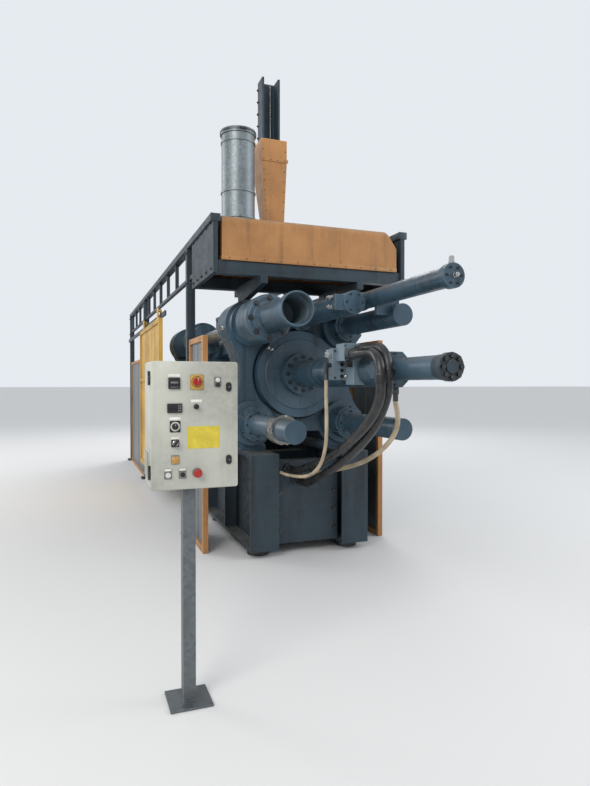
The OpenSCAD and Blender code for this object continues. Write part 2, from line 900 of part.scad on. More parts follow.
// Control box on its post
box_mid = -1436;
box_x0 = box_mid - box_w / 2;
box_x1 = box_x0 + box_w;
box_z0 = 1018;
box_z1 = box_z0 + box_h;
skin = 2;
door_front = -4815;
door_t = 20;
box_y0 = door_front + door_t + 1;
box_y1 = box_y0 + box_d - door_t;
post_x = -1457;
post_mid_y = -4737;
post_tube = 60;

module control_post() {
    r = post_tube / 2;
    color(zinc) translate([post_x, post_mid_y, 0]) {
        block([-r, -r, 0], [r, r, box_z0]);
        block([-100, -100, 0], [100, 100, 10]);
    }
}

hinge_x = box_x0 - 7;
hinge_y = box_y0 - 1;
hinge_d = 10;
hinge_pin_d = 5;
hinge_fit = 0.1;
hinge_z = [box_z0 + 80, box_z1 - 80];
knuckle = 20;

module hinge_barrel(z, h, d) {
    translate([hinge_x, hinge_y, z]) cylinder(d = d, h = h, $fn = 32);
}

// Open shell with a mounting plate and the fixed halves of two hinges
module control_box() {
    color(box_grey) {
        difference() {
            block([box_x0, box_y0, box_z0], [box_x1, box_y1, box_z1]);
            block([box_x0 + skin, box_y0 - 1, box_z0 + skin], [box_x1 - skin, box_y1 - skin, box_z1 - skin]);
        }
        block([box_x0 + 30, box_y1 - 14, box_z0 + 30], [box_x1 - 30, box_y1 - 1, box_z1 - 30]);
    }
    color(steel) for (z = hinge_z) {
        hinge_barrel(z - 1.5 * knuckle, knuckle - 0.5, hinge_d);
        hinge_barrel(z + 0.5 * knuckle + 0.5, knuckle, hinge_d);
        hinge_barrel(z - 1.5 * knuckle, 3 * knuckle, hinge_pin_d);
        for (s = [-1.5, 0.5])
            block([hinge_x, hinge_y + 2, z + s * knuckle + 0.5],
                  [box_x0 + 1, hinge_y + 20, z + (s + 1) * knuckle - 0.5]);
    }
}

stop_x = box_mid + 7;
stop_z = box_z0 + 75;
switch_z = box_z1 - 94;
stem_d = 14;

// A round piece standing out of the door's face
module on_door(x, z, d, from, to) {
    translate([x, door_front - to, z]) rotate([-90, 0, 0]) cylinder(d = d, h = to - from);
}

// A flat piece on the door's face, w wide and h high
module plate_on_door(x, z, w, h, t) {
    block([x - w / 2, door_front - t, z - h / 2], [x + w / 2, door_front, z + h / 2]);
}

// Folded door pan with the moving halves of the hinges
module control_door() {
    color(box_grey) difference() {
        union() {
            block([box_x0, door_front, box_z0], [box_x1, door_front + door_t, box_z1]);
            on_door(stop_x, stop_z, 32, -1, 10);
        }
        block([box_x0 + skin, door_front + skin, box_z0 + skin],
              [box_x1 - skin, door_front + door_t + 1, box_z1 - skin]);
        on_door(stop_x, stop_z, stem_d + 2 * hinge_fit, -3, 11);
    }
    color(steel) for (z = hinge_z) difference() {
        union() {
            hinge_barrel(z - knuckle / 2, knuckle, hinge_d);
            block([hinge_x, hinge_y - 12, z - knuckle / 2], [box_x0 + 1, hinge_y - 2, z + knuckle / 2]);
        }
        hinge_barrel(z - knuckle, 2 * knuckle, hinge_pin_d + 2 * hinge_fit);
    }
}

gauge_x = box_mid - 98;
latch_x = box_x1 - 43;

// Instruments, display, knobs, push buttons and latches that stay still on the door
module door_controls() {
    color(yellow) plate_on_door(stop_x, switch_z, 60, 68, 3);
    color(black) {
        plate_on_door(gauge_x, box_z1 - 101, 52, 52, 12);
        plate_on_door(gauge_x + 2, box_z1 - 215, 68, 42, 12);
        plate_on_door(gauge_x, box_z1 - 299, 48, 52, 4);
        plate_on_door(gauge_x, box_z1 - 376, 36, 34, 8);
        on_door(stop_x - 2, box_z1 - 209, 24, 0, 20);
        for (z = [box_z1 - 118, box_z0 + 130]) {
            plate_on_door(latch_x, z, 26, 44, 6);
            on_door(latch_x, z, 20, 0, 14);
        }
    }
    color(steel) {
        on_door(gauge_x, box_z1 - 299, 40, 3, 9);
        on_door(box_mid + 104, box_z1 - 94, 28, 0, 12);
        plate_on_door(gauge_x, box_z1 - 451, 38, 42, 4);
        plate_on_door(gauge_x - 33, box_z0 + 75, 34, 46, 4);
        plate_on_door(gauge_x + 33, box_z0 + 75, 34, 46, 4);
    }
    color(yellow) on_door(gauge_x, box_z1 - 453, 24, 3, 14);
    color(box_grey) on_door(gauge_x - 33, box_z0 + 71, 24, 3, 12);
    color(black) on_door(gauge_x + 33, box_z0 + 71, 24, 3, 12);
}

// Rotary handle of the main switch
module main_switch() {
    face = 3 + seat;
    color(red) {
        on_door(stop_x, switch_z, 40, face, face + 14);
        plate_turn = 19;
        block([stop_x - 6, door_front - face - 32, switch_z - plate_turn],
              [stop_x + 6, door_front - face - 13, switch_z + plate_turn]);
    }
}

// Mushroom head on its stem
module stop_button() {
    color(red) {
        on_door(stop_x, stop_z, 40, 20, 34);
        on_door(stop_x, stop_z, stem_d, -3, 21);
    }
}

// Hoses: elbows and end fittings, then the free lengths between them
bend_r = 150;
bent_d = 60;
fit_len = 45;
outer_x = -185;
outer_z = axis_z + 110;
outer_bend_y = closer_end + 5;
inner_x = -112;
inner_z = axis_z + 146;
inner_bend_y = closer_end + 40;
bed_face = cross_y[0];
outer_end_z = 760;
inner_end_z = 660;

// A level stub from the port block, then a quarter bend down
module elbow(x, z, bend_y) {
    along(bent_d, bend_y, port_face, x, z);
    along(bent_d + 16, port_face - 60, port_face, x, z);
    translate([x, bend_y, z - bend_r]) rotate([0, -90, 0]) rotate_extrude(angle = -90)
        translate([bend_r, 0]) circle(d = bent_d, $fn = 32);
    translate([x, bend_y - bend_r, z - bend_r - fit_len]) cylinder(d = bent_d + 14, h = fit_len + 1);
}

module hose_fittings() {
    color(petrol_dark) {
        elbow(outer_x, outer_z, outer_bend_y);
        elbow(inner_x, inner_z, inner_bend_y);
        along(80, bed_face - fit_len, bed_face, outer_x, outer_end_z);
        along(80, bed_face - fit_len, bed_face, inner_x, inner_end_z);
    }
    color(steel) {
        along(40, bed_face - fit_len, bed_face, pale_left_x, pale_end_z);
        along(46, bed_face - fit_len, bed_face, pale_right_x, pale_end_z);
        translate([pale_left_x, valve_y + 40, axis_z + 40]) {
            rotate([0, 90, 0]) cylinder(d = 34, h = valve_x - pale_left_x);
            translate([0, 0, -60]) cylinder(d = 34, h = 77);
        }
        translate([pale_right_x, pale_top_y, pale_top_z])
            cylinder(d = 44, h = axis_z - cap_w / 2 - pale_top_z);
    }
}

pale_left_x = -284;
pale_right_x = 40;
pale_top_y = closer_end + 60;
pale_top_z = axis_z - 163;
pale_end_z = 740;

// Centre lines through points on round numbers, as [y, z] pairs in an upright plane.
// The upper ends follow the cylinder, and the lower ends stay on the bed.
drift = [closer_end + 4150, axis_z - 1600];
function share(p, points) = let (low = points[len(points) - 1][1]) (p[1] - low) / (points[0][1] - low);
function upright(x, points) = [for (p = points) let (q = p + share(p, points) * drift) [x, q[0], q[1]]];
outer_route = upright(outer_x, [[-4295, 1515], [-4295, 1465], [-4280, 1410], [-4235, 1345],
    [-4170, 1285], [-4080, 1222], [-3970, 1160], [-3850, 1100], [-3720, 1042], [-3580, 985],
    [-3430, 930], [-3280, 882], [-3120, 840], [-2960, 800], [-2800, 760], [-2645, 760]]);
inner_route = upright(inner_x, [[-4260, 1551], [-4260, 1500], [-4248, 1440], [-4210, 1370],
    [-4155, 1300], [-4085, 1230], [-3995, 1160], [-3890, 1092], [-3770, 1025], [-3640, 960],
    [-3500, 895], [-3350, 832], [-3190, 770], [-3030, 715], [-2860, 660], [-2645, 660]]);
pale_left_route = upright(pale_left_x, [[-3680, 1580], [-3680, 1480], [-3682, 1380], [-3686, 1280],
    [-3686, 1180], [-3676, 1090], [-3646, 1010], [-3596, 940], [-3528, 885], [-3445, 840],
    [-3340, 805], [-3200, 775], [-3020, 755], [-2830, 740], [-2645, 740]]);
pale_right_route = upright(pale_right_x, [[-4090, 1437], [-4090, 1385], [-4110, 1330], [-4120, 1270],
    [-4100, 1205], [-4050, 1145], [-3975, 1090], [-3880, 1035], [-3770, 985], [-3640, 935],
    [-3490, 890], [-3310, 845], [-3110, 800], [-2880, 740], [-2645, 740]]);

// A tube with n sides swept along a route in an upright plane
function unit(v) = v / norm(v);
function lean(route, i) = unit(route[min(i + 1, len(route) - 1)] - route[max(i - 1, 0)]);
function ring(c, t, r, n) = let (v = cross(t, [1, 0, 0]))
    [for (k = [0 : n - 1]) c + r * (cos(360 * k / n) * [1, 0, 0] + sin(360 * k / n) * v)];

module tube(route, d, n) {
    rings = len(route);
    ends = [unit(route[1] - route[0]), unit(route[rings - 1] - route[rings - 2])];
    points = [for (i = [0 : rings - 1]) each ring(route[i], lean(route, i), d / 2, n)];
    sides = [for (i = [0 : rings - 2], k = [0 : n - 1]) let (m = (k + 1) % n)
        [i * n + k, (i + 1) * n + k, (i + 1) * n + m, i * n + m]];
    caps = [[for (k = [0 : n - 1]) k], [for (k = [n - 1 : -1 : 0]) (rings - 1) * n + k]];
    polyhedron(points, concat(sides, caps));
}

module hose_outer() color(black) tube(outer_route, 64, 10);

module hose_inner() color(black) tube(inner_route, 64, 10);

module hose_pale_left() color(pale_rubber) tube(pale_left_route, 26, 8);

module hose_pale_right() color(pale_rubber) tube(pale_right_route, 34, 8);

bed_beam_left();
bed_beam_right();
bed_cross_members();
levelling_feet();
rear_platen();
moving_platen();
fixed_platen();
tie_bars();
tie_bar_nuts();
bar_covers();
bar_puller();
closing_cylinder();
cylinder_tail();
upper_cylinder();
side_cylinder();
valve_block();
port_block();
closing_rod();
crosshead();
rear_links();
front_links();
short_links();
toggle_pins();
ejector_cylinder();
hose_fittings();
hose_outer();
hose_inner();
hose_pale_left();
hose_pale_right();
top_hood();
hood_frame();
duct_spigot();
lift_column();
lift_mast();
rail_left();
rail_right();
guard_frames();
guard_sheets();
guard_door();
shot_frame();
shot_cylinder();
shot_sleeve();
shot_rod();
accumulators();
oil_tank();
pump_motor();
control_post();
control_box();
control_door();
door_controls();
main_switch();
stop_button();
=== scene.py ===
# %% [markdown]
# # A die casting machine, dressed from its CAD model
# This machine locks a steel mould between two platens and shoots molten metal into it. Its large
# solids were drawn in OpenSCAD. Here they get paint, rounded edges, and the small pieces that a
# CAD drawing leaves out, such as screws, fittings, hoses and instruments. One could model the
# whole machine again in Blender, but then two machines would have to be kept the same by hand. So
# this lesson loads the CAD nodes, leaves them where they are, and replaces a node only where a
# better shape is drawn over it. All lengths are metres in the CAD's frame: +Z up, +Y along the
# machine from its closing end to its shot end, and +X to the right.

# %% load the frame
from math import cos, pi, radians, sin

import bmesh
import bpy
from mathutils import Matrix, Vector


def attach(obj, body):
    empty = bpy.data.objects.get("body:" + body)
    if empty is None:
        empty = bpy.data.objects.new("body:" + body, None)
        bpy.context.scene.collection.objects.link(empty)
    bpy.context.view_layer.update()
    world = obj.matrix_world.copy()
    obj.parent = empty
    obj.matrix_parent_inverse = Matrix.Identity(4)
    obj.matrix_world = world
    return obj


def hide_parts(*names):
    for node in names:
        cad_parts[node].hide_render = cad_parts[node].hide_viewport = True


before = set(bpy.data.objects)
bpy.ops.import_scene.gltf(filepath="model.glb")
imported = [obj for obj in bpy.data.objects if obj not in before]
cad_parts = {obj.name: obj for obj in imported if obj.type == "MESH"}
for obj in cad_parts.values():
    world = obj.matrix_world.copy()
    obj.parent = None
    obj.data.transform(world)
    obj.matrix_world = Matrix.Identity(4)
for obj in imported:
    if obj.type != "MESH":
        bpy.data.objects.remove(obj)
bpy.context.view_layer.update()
scene = bpy.context.scene

# %% [markdown]
# ## The camera
# A render can be compared with a photograph only when both are taken from one place. That place
# could be found by eye in the viewport, but here it comes from the photograph's own lines: the
# horizon gives the height, and the sizes of near and far pieces give the distance. A 36 mm lens on
# a 36 mm sensor was chosen because a thing then fills the frame's width when it is as wide as it
# is far away.

# %% camera
cam_data = bpy.data.cameras.new("camera")
cam_data.sensor_fit = "HORIZONTAL"
cam_data.sensor_width = 36.0
cam_data.lens = 36.0
cam = bpy.data.objects.new("camera", cam_data)
scene.collection.objects.link(cam)
DIP, TURN = 0.8, 20.5  # degrees that it looks down, and to the right
cam.location = (-1.96, -7.53, 1.50)
cam.rotation_euler = (radians(90.0 - DIP), 0.0, radians(-TURN))
scene.camera = cam
print("camera at", tuple(round(v, 2) for v in cam.location))

# %% [markdown]
# ## Helpers for node trees
# A material in Blender is a small graph. Every node has sockets, and links carry values between
# them. The graphs could be drawn by hand in the shader editor, but a script can repeat them for
# thirty finishes. So four short helpers make a node, stretch a value to a new range, multiply two
# values, and lay one colour over another. Each takes a plain value or a link, as the sockets
# themselves do.

# %% node helpers
def add(nt, kind, **values):
    """A new node; each keyword's value or link goes to the socket of that name."""
    n = nt.nodes.new(kind)
    for key, value in values.items():
        name = key.replace("_", " ")
        if name not in n.inputs:
            setattr(n, key, value)
        elif isinstance(value, bpy.types.NodeSocket):
            nt.links.new(value, n.inputs[name])
        else:
            n.inputs[name].default_value = value
    return n


def ramp(nt, source, low, high, a=0.0, b=1.0):
    """Maps source from low..high to a..b, held at both ends."""
    n = add(nt, "ShaderNodeMapRange", Value=source)
    for name, value in (("From Min", low), ("From Max", high), ("To Min", a), ("To Max", b)):
        n.inputs[name].default_value = value
    return n.outputs["Result"]


def times(nt, a, b):
    """The product of two values."""
    n = add(nt, "ShaderNodeMath", operation="MULTIPLY")
    for socket, value in zip(n.inputs, (a, b)):
        if isinstance(value, bpy.types.NodeSocket):
            nt.links.new(value, socket)
        else:
            socket.default_value = value
    return n.outputs[0]


def blend(nt, factor, a, b):
    """Lays colour b over colour a, as much as factor says."""
    n = add(nt, "ShaderNodeMix", data_type="RGBA")
    for socket, value in ((n.inputs[0], factor), (n.inputs[6], a), (n.inputs[7], b)):
        if isinstance(value, bpy.types.NodeSocket):
            nt.links.new(value, socket)
        else:
            socket.default_value = value
    return n.outputs[2]


print("node helpers:", ", ".join(f.__name__ for f in (add, ramp, times, blend)))

# %% [markdown]
# ## Patterns and colours
# Nothing on a machine that has worked for years has one even colour: oil, dust and hands change it
# from place to place. A painted picture could carry that, but it would need a map for every piece.
# Noise that reads Object coordinates needs no map, keeps its true scale on every piece, and runs
# on across a joint between two pieces. Stretching it along Z turns the spots into streaks that run
# down.

# %% patterns and colours
def noise(nt, coords, scale, detail=4.0, rough=0.6, stretch=None):
    """A cloudy value; stretch below 1 on an axis draws it out along that axis."""
    if stretch:
        coords = add(nt, "ShaderNodeMapping", Vector=coords, Scale=stretch).outputs[0]
    n = add(nt, "ShaderNodeTexNoise", Vector=coords, Scale=scale, Detail=detail, Roughness=rough)
    return n.outputs["Fac"]


def rgb(hexa):
    """A linear colour from the six digits of a screen colour."""
    c = [int(hexa[i:i + 2], 16) / 255 for i in (0, 2, 4)]
    return [v / 12.92 if v <= 0.04045 else ((v + 0.055) / 1.055) ** 2.4 for v in c] + [1.0]


def tint(colour, factor, lift=0.0):
    """The same colour, darker or lighter."""
    return [min(1.0, c * factor + lift) for c in colour[:3]] + [1.0]


def spots(nt, co, under, over, scale, detail, low, high, amount=1.0, rough=0.6, stretch=None):
    """Lays clouds of one colour over another; a noise from low to high fades them in."""
    cloud = noise(nt, co, scale, detail, rough, stretch)
    return blend(nt, ramp(nt, cloud, low, high, 0.0, amount), under, over)


print("linear value of the machine's blue:", [round(v, 3) for v in rgb("38505f")[:3]])

# %% [markdown]
# ## The shader's own values
# Every finish ends in the same few steps: a new material, a colour and a roughness that go to its
# shader, and a little relief. A bump only tilts the light on a surface, so it costs no faces, and
# it is right for what is finer than a millimetre. These three helpers keep the finishes below
# short.

# %% start and end of a finish
def start(name):
    """A new material: itself, its tree, its shader and the Object coordinates."""
    mat = bpy.data.materials.new(name)
    mat.use_nodes = True
    nt = mat.node_tree
    return mat, nt, nt.nodes["Principled BSDF"], add(nt, "ShaderNodeTexCoord").outputs["Object"]


def coat(nt, shader, colour, roughness):
    """Gives the shader its colour and its roughness."""
    nt.links.new(colour, shader.inputs["Base Color"])
    nt.links.new(roughness, shader.inputs["Roughness"])


def bump(nt, shader, height, strength):
    """Relief of up to a millimetre without geometry, from a height."""
    n = add(nt, "ShaderNodeBump", Height=height, Strength=strength, Distance=0.001)
    nt.links.new(n.outputs[0], shader.inputs["Normal"])


print("every finish: start, coat, bump")

# %% [markdown]
# ## Enamel
# Castings, frames and sheets are sprayed with enamel, which dries with a faint orange-peel skin.
# Over the years it fades in broad patches, oil runs down its upright faces, grey dust settles
# where it looks up, and chips show the primer. One flat colour with a gloss value would look like
# new plastic. So each of these layers is a noise of its own size, laid over the one before. Dust
# asks the surface normal whether it looks up, which works on any shape without painting a mask.

# %% enamel
OIL, DUST = rgb("14161a"), rgb("8d8778")


def paint(name, colour, under, rough, grime, dust, chips, peel=0.12):
    """Enamel with oil runs, dust, and chips that show the primer under it."""
    mat, nt, shader, co = start(name)
    base = rgb(colour)
    col = spots(nt, co, tint(base, 0.62), tint(base, 1.22, 0.004), 1.7, 5.0, 0.3, 0.7)
    col = spots(nt, co, col, base, 38.0, 6.0, 0.42, 0.62, 0.35)
    col = spots(nt, co, col, OIL, 9.0, 5.0, 0.5, 0.72, grime, stretch=(1.0, 1.0, 0.12))
    normal = add(nt, "ShaderNodeNewGeometry").outputs["Normal"]
    up = add(nt, "ShaderNodeSeparateXYZ", Vector=normal).outputs["Z"]
    clouds = ramp(nt, noise(nt, co, 7.0, 9.0, 0.72), 0.32, 0.72)
    lies = times(nt, ramp(nt, up, 0.35, 0.95, 0.0, dust), clouds)
    col = blend(nt, lies, col, DUST)
    col = spots(nt, co, col, rgb(under), 27.0, 9.0, 0.665, 0.69, chips, 0.72)
    coat(nt, shader, col, ramp(nt, noise(nt, co, 14.0, 6.0), 0.3, 0.7, rough - 0.1, rough + 0.18))
    bump(nt, shader, noise(nt, co, 160.0, 3.0), peel)
    return mat


print("enamel layers: tone, mottle, oil runs, dust, chips, orange peel")

# %% [markdown]
# ## Bare metal and galvanised sheet
# Tie bars and rods are ground steel with fine marks round them, and screws are blackened. The
# marks could be modelled as grooves, but they are far too fine, so one stretched noise drives both
# the roughness and a slight bump. Galvanised sheet shows flat zinc crystals, each a little lighter
# or darker than the next. A Voronoi texture has exactly such cells, so it was chosen over a noise.

# %% metal and zinc
def metal(name, colour, rough, stain, turned=None):
    """Bare metal with machining marks and brown stains."""
    mat, nt, shader, co = start(name)
    base = rgb(colour)
    col = spots(nt, co, tint(base, 0.55), base, 3.0, 6.0, 0.3, 0.7)
    col = spots(nt, co, col, rgb("4d3a2a"), 16.0, 8.0, 0.55, 0.75, stain, 0.7)
    marks = noise(nt, co, 60.0, 4.0, stretch=turned)
    coat(nt, shader, col, ramp(nt, marks, 0.3, 0.7, rough - 0.1, rough + 0.15))
    shader.inputs["Metallic"].default_value = 1.0
    bump(nt, shader, marks, 0.08)
    return mat


def zinc(name, colour):
    """Galvanised sheet: crystals of slightly different greys under a dull white bloom."""
    mat, nt, shader, co = start(name)
    cells = add(nt, "ShaderNodeTexVoronoi", Vector=co, Scale=55.0).outputs["Color"]
    base = rgb(colour)
    lightness = add(nt, "ShaderNodeSeparateColor", Color=cells).outputs[0]
    col = blend(nt, lightness, tint(base, 0.7), base)
    col = spots(nt, co, col, rgb("6d7173"), 4.0, 6.0, 0.45, 0.7, 0.55)
    col = spots(nt, co, col, rgb("54534f"), 8.0, 5.0, 0.54, 0.78, 0.3, stretch=(1.0, 1.0, 0.1))
    coat(nt, shader, col, ramp(nt, lightness, 0.0, 1.0, 0.38, 0.55))
    shader.inputs["Metallic"].default_value = 0.75
    bump(nt, shader, noise(nt, co, 30.0, 3.0), 0.06)
    return mat


print("metals: machining marks and stains; zinc: crystals, bloom and runs")

# %% [markdown]
# ## Rubber and plastic
# A hydraulic hose is wrapped in wet cloth while it is cured, and the cloth leaves a fine diagonal
# weave in its cover. Modelling the weave would cost millions of faces, so a Wave texture lifts it
# as a bump. The plastics of lamps, knobs and plates are smooth, with finger dirt. Their pattern is
# much finer than the enamel's, because the pieces are only a few centimetres across.

# %% rubber and plastic
def rubber(name, colour, rough, dirt, cloth=0.2):
    """Hose cover with a wrapped-cloth grain and dry dirt."""
    mat, nt, shader, co = start(name)
    base = rgb(colour)
    col = spots(nt, co, base, tint(base, 1.7, 0.01), 6.0, 6.0, 0.35, 0.7)
    col = spots(nt, co, col, rgb("5d574c"), 22.0, 6.0, 0.5, 0.75, dirt)
    coat(nt, shader, col, ramp(nt, noise(nt, co, 12.0, 4.0), 0.3, 0.7, rough - 0.08, rough + 0.15))
    wrap = add(nt, "ShaderNodeTexWave", Vector=co, Scale=42.0, Distortion=1.5,
               bands_direction="DIAGONAL").outputs["Fac"]
    bump(nt, shader, wrap, cloth)
    return mat


def plastic(name, colour, rough, dirt=0.25):
    """Moulded plastic with fine finger dirt."""
    mat, nt, shader, co = start(name)
    base = rgb(colour)
    col = spots(nt, co, tint(base, 0.78), base, 30.0, 5.0, 0.35, 0.7)
    col = spots(nt, co, col, rgb("4a463e"), 90.0, 5.0, 0.55, 0.75, dirt)
    coat(nt, shader, col, ramp(nt, noise(nt, co, 70.0, 4.0), 0.3, 0.7, rough - 0.08, rough + 0.12))
    bump(nt, shader, noise(nt, co, 500.0, 2.0), 0.08)
    return mat


print("rubber: weave and dry dirt; plastic: fine dirt")

# %% [markdown]
# ## The palette
# The machine has few colours: a dark blue grey on the castings, a darker one on the bed and
# frames, a lighter one on the valve blocks, orange on the hood and guards, yellow on the sliding
# door, and a warm white on the control box. Each could be picked inside the piece that wears it,
# but one table lets a reader compare them. An enamel and its edge are a pair: the edge is a step
# lighter and more chipped, because hands and tools rub a corner first.

# %% palette
M = {
    # enamel: colour, primer, roughness, oil, dust, chips, and for some the orange peel
    "machine": paint("machine_enamel", "38505f", "7f827c", 0.34, 0.6, 0.4, 0.3),
    "machine_edge": paint("machine_enamel_edges", "4c6574", "8f9089", 0.32, 0.4, 0.35, 0.7),
    "cast": paint("cast_enamel", "38505f", "7f827c", 0.38, 0.7, 0.45, 0.35, 0.45),
    "disc": paint("turned_face_enamel", "3e5462", "7f827c", 0.33, 0.5, 0.4, 0.25),
    "bed": paint("bed_enamel", "25353f", "5d5a52", 0.5, 0.8, 0.6, 0.35, 0.25),
    "bed_edge": paint("bed_enamel_edges", "35464f", "6f6c64", 0.45, 0.5, 0.5, 0.8),
    "block": paint("block_enamel", "6e7f8a", "8f9089", 0.34, 0.45, 0.45, 0.25),
    "block_edge": paint("block_enamel_edges", "83929c", "9b9c94", 0.32, 0.3, 0.35, 0.7),
    "pale": paint("pale_enamel", "50646f", "8f9089", 0.36, 0.5, 0.45, 0.3),
    "pale_edge": paint("pale_enamel_edges", "667b86", "9b9c94", 0.34, 0.35, 0.35, 0.7),
    "orange": paint("orange_enamel", "a97744", "74695a", 0.48, 0.35, 0.7, 0.35),
    "orange_edge": paint("orange_enamel_edges", "bb8c5a", "847a6b", 0.45, 0.25, 0.5, 0.7),
    "yellow": paint("yellow_enamel", "c79d42", "7f7462", 0.48, 0.26, 0.6, 0.4),
    "yellow_edge": paint("yellow_enamel_edges", "c9a656", "8e8373", 0.45, 0.25, 0.4, 0.7),
    "box": paint("box_powder_coat", "b4b4a9", "8a8880", 0.5, 0.2, 0.4, 0.2, 0.3),
    # the bore's paint is lighter than the casting's: painted light in its shaded inside
    "bore": paint("bore_painted_light", "56666f", "2a2a28", 0.38, 0.6, 0.2, 0.3),
    # zinc: colour; metal: colour, roughness, stain, and which way its marks run
    "zinc": zinc("galvanised_sheet", "858d90"),
    "post": zinc("galvanised_tube", "72777a"),
    "steel": metal("ground_steel", "a9a9a5", 0.3, 0.22, (1.0, 0.05, 1.0)),
    "bolt": metal("blackened_bolts", "5b5d5e", 0.42, 0.5),
    "chrome": metal("nickel_fittings", "c9c9c6", 0.2, 0.15),
    # rubber and plastic: colour, roughness, dirt, and for rubber the weave
    "hose": rubber("black_hose_cover", "141517", 0.3, 0.3),
    "pale_hose": rubber("pale_hose_cover", "9c8d74", 0.45, 0.4, 0.12),
    "black": plastic("black_plastic", "18191b", 0.38),
    "grey": plastic("grey_plastic", "6f7170", 0.42),
    "red": plastic("red_plastic", "a8241c", 0.3),
    "white": plastic("white_plastic", "cfcdc4", 0.38),
    "amber": plastic("amber_lens", "c98a28", 0.2, 0.1),
    "label": plastic("blank_plate", "ece9df", 0.5, 0.06),
    "note": plastic("yellow_note", "d2bd3c", 0.6, 0.2),
    "glass": plastic("dark_glass", "10161a", 0.1, 0.05),
}
print("materials:", len(M))

# %% [markdown]
# ## From a bmesh to a piece
# A bmesh is Blender's mesh for editing: vertices and faces that a script can add one by one. To
# show it, its faces must point outwards, it needs materials, and edges flatter than an angle
# should shade smooth while sharper ones stay crisp. An operator could do each of these on a
# selected object, but operators depend on what is selected, so this helper works on the data. It
# also tells the frame which CAD body the piece moves with. A second helper turns a piece's own +Z
# to the way that it looks, and names are given to the five ways that are needed.

# %% finish a piece
def finish_mesh(name, bm, mats, body="machine", angle=35, outward=True):
    """Turns a bmesh into a shaded object that rides on a body."""
    if outward:
        bmesh.ops.recalc_face_normals(bm, faces=bm.faces[:])
    me = bpy.data.meshes.new(name)
    bm.to_mesh(me)
    bm.free()
    for key in mats:
        me.materials.append(M[key])
    me.shade_smooth()
    me.set_sharp_from_angle(angle=radians(angle))
    ob = bpy.data.objects.new(name, me)
    scene.collection.objects.link(ob)
    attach(ob, body)
    print(f"{name}: {len(me.polygons)} faces")
    return ob


def toward(axis, at=(0, 0, 0)):
    """A matrix that turns +Z to the given axis and moves to a point."""
    return Matrix.Translation(at) @ Vector(axis).to_track_quat("Z", "Y").to_matrix().to_4x4()


LEFT, RIGHT, UP = (-1, 0, 0), (1, 0, 0), (0, 0, 1)
CLOSING, SHOT = (0, -1, 0), (0, 1, 0)  # what looks at the closing end or at the shot end
print("toward() turns +Z to:", tuple(round(v) for v in toward(CLOSING).col[2][:3]))

# %% [markdown]
# ## Turned pieces
# Flanges, caps, hose ends, knobs and cylinders come off a lathe: one profile, turned about an
# axis. Blender's Screw modifier or the spin operator would do it, but both leave doubled points at
# the seam and the pole. This helper makes each ring once and closes it on itself, so no seam is
# left, and it closes an open end by a fan to one point on the axis. Six sides instead of
# forty-eight make a hexagon, so bolts and nuts come from the same few lines.

# %% turned pieces
def lathe(bm, profile, matrix=None, n=48, mat=0, wave=None):
    """Revolves (radius, height) pairs about Z into a closed skin.

    A profile with both ends off the axis closes on itself as a ring; any other open end
    is closed by a flat fan to the axis.
    """
    matrix = matrix or Matrix()
    profile = list(profile)
    hollow = len(profile) > 2 and profile[0][0] > 0 and profile[-1][0] > 0
    if not hollow and profile[0][0] > 0:
        profile.insert(0, (0, profile[0][1]))
    if not hollow and profile[-1][0] > 0:
        profile.append((0, profile[-1][1]))
    rings = []
    for r, h in profile:
        rim = []
        for k in range(n if r else 1):
            t = 2 * pi * k / n
            reach = r * (1 + (wave(k / n) if wave else 0))
            rim.append(bm.verts.new(matrix @ Vector((reach * cos(t), reach * sin(t), h))))
        rings.append(rim)
    for a, b in zip(rings, rings[1:] + (rings[:1] if hollow else [])):
        for k in range(n):
            m = (k + 1) % n
            if len(a) == 1 and len(b) > 1:
                corners = (a[0], b[m], b[k])
            elif len(b) == 1 and len(a) > 1:
                corners = (a[k], a[m], b[0])
            elif len(a) > 1:
                corners = (a[k], a[m], b[m], b[k])
            else:
                continue
            bm.faces.new(corners).material_index = mat


def hexagon(bm, matrix, flats, h, mat=0):
    """A hexagon head or nut of a width across its flats, with its crown turned off."""
    r = flats / 3 ** 0.5
    lathe(bm, [(0, 0), (r, 0), (r, h * 0.88), (r * 0.86, h), (0, h)], matrix, 6, mat)


print("lathe: 48 sides as a rule, 6 for a hexagon")

# %% [markdown]
# ## Boxes with rounded edges
# A machined block has its edges broken with a file, and a moulded cover has them rounded. A plain
# cube would catch no light along its edges and look like paper. A Bevel modifier on every box
# would work, but hundreds of small boxes are joined into a few pieces, so each is bevelled in its
# own bmesh and then moved into the larger one.

# %% rounded boxes
def rounded(bm, lo, hi, r=0.003, mat=0, segments=2, matrix=None):
    """A box with rounded edges, bevelled in a bmesh of its own and moved into bm."""
    part = bmesh.new()
    bmesh.ops.create_cube(part, size=1.0)
    lo, hi = Vector(lo), Vector(hi)
    for v in part.verts:
        v.co = (lo + hi) / 2 + Vector(a * b for a, b in zip(v.co, hi - lo))
    bmesh.ops.bevel(part, geom=part.edges[:], offset=r, segments=segments, profile=0.5,
                    affect="EDGES")
    if matrix:
        bmesh.ops.transform(part, matrix=matrix, verts=part.verts[:])
    for f in part.faces:
        f.material_index = mat
    me = bpy.data.meshes.new("part")
    part.to_mesh(me)
    part.free()
    bm.from_mesh(me)
    bpy.data.meshes.remove(me)


print("rounded boxes: bevelled, then joined")

# %% [markdown]
# ## Skins between loops
# A folded pan, a gusset or a rubber seal is a row of closed outlines with a skin between them. The
# outlines could be bridged by an operator that guesses which points belong together. Here all
# loops have the same number of points in the same order, so point is joined to point and nothing
# is guessed. The first and last loop get a cap each where the piece is solid.

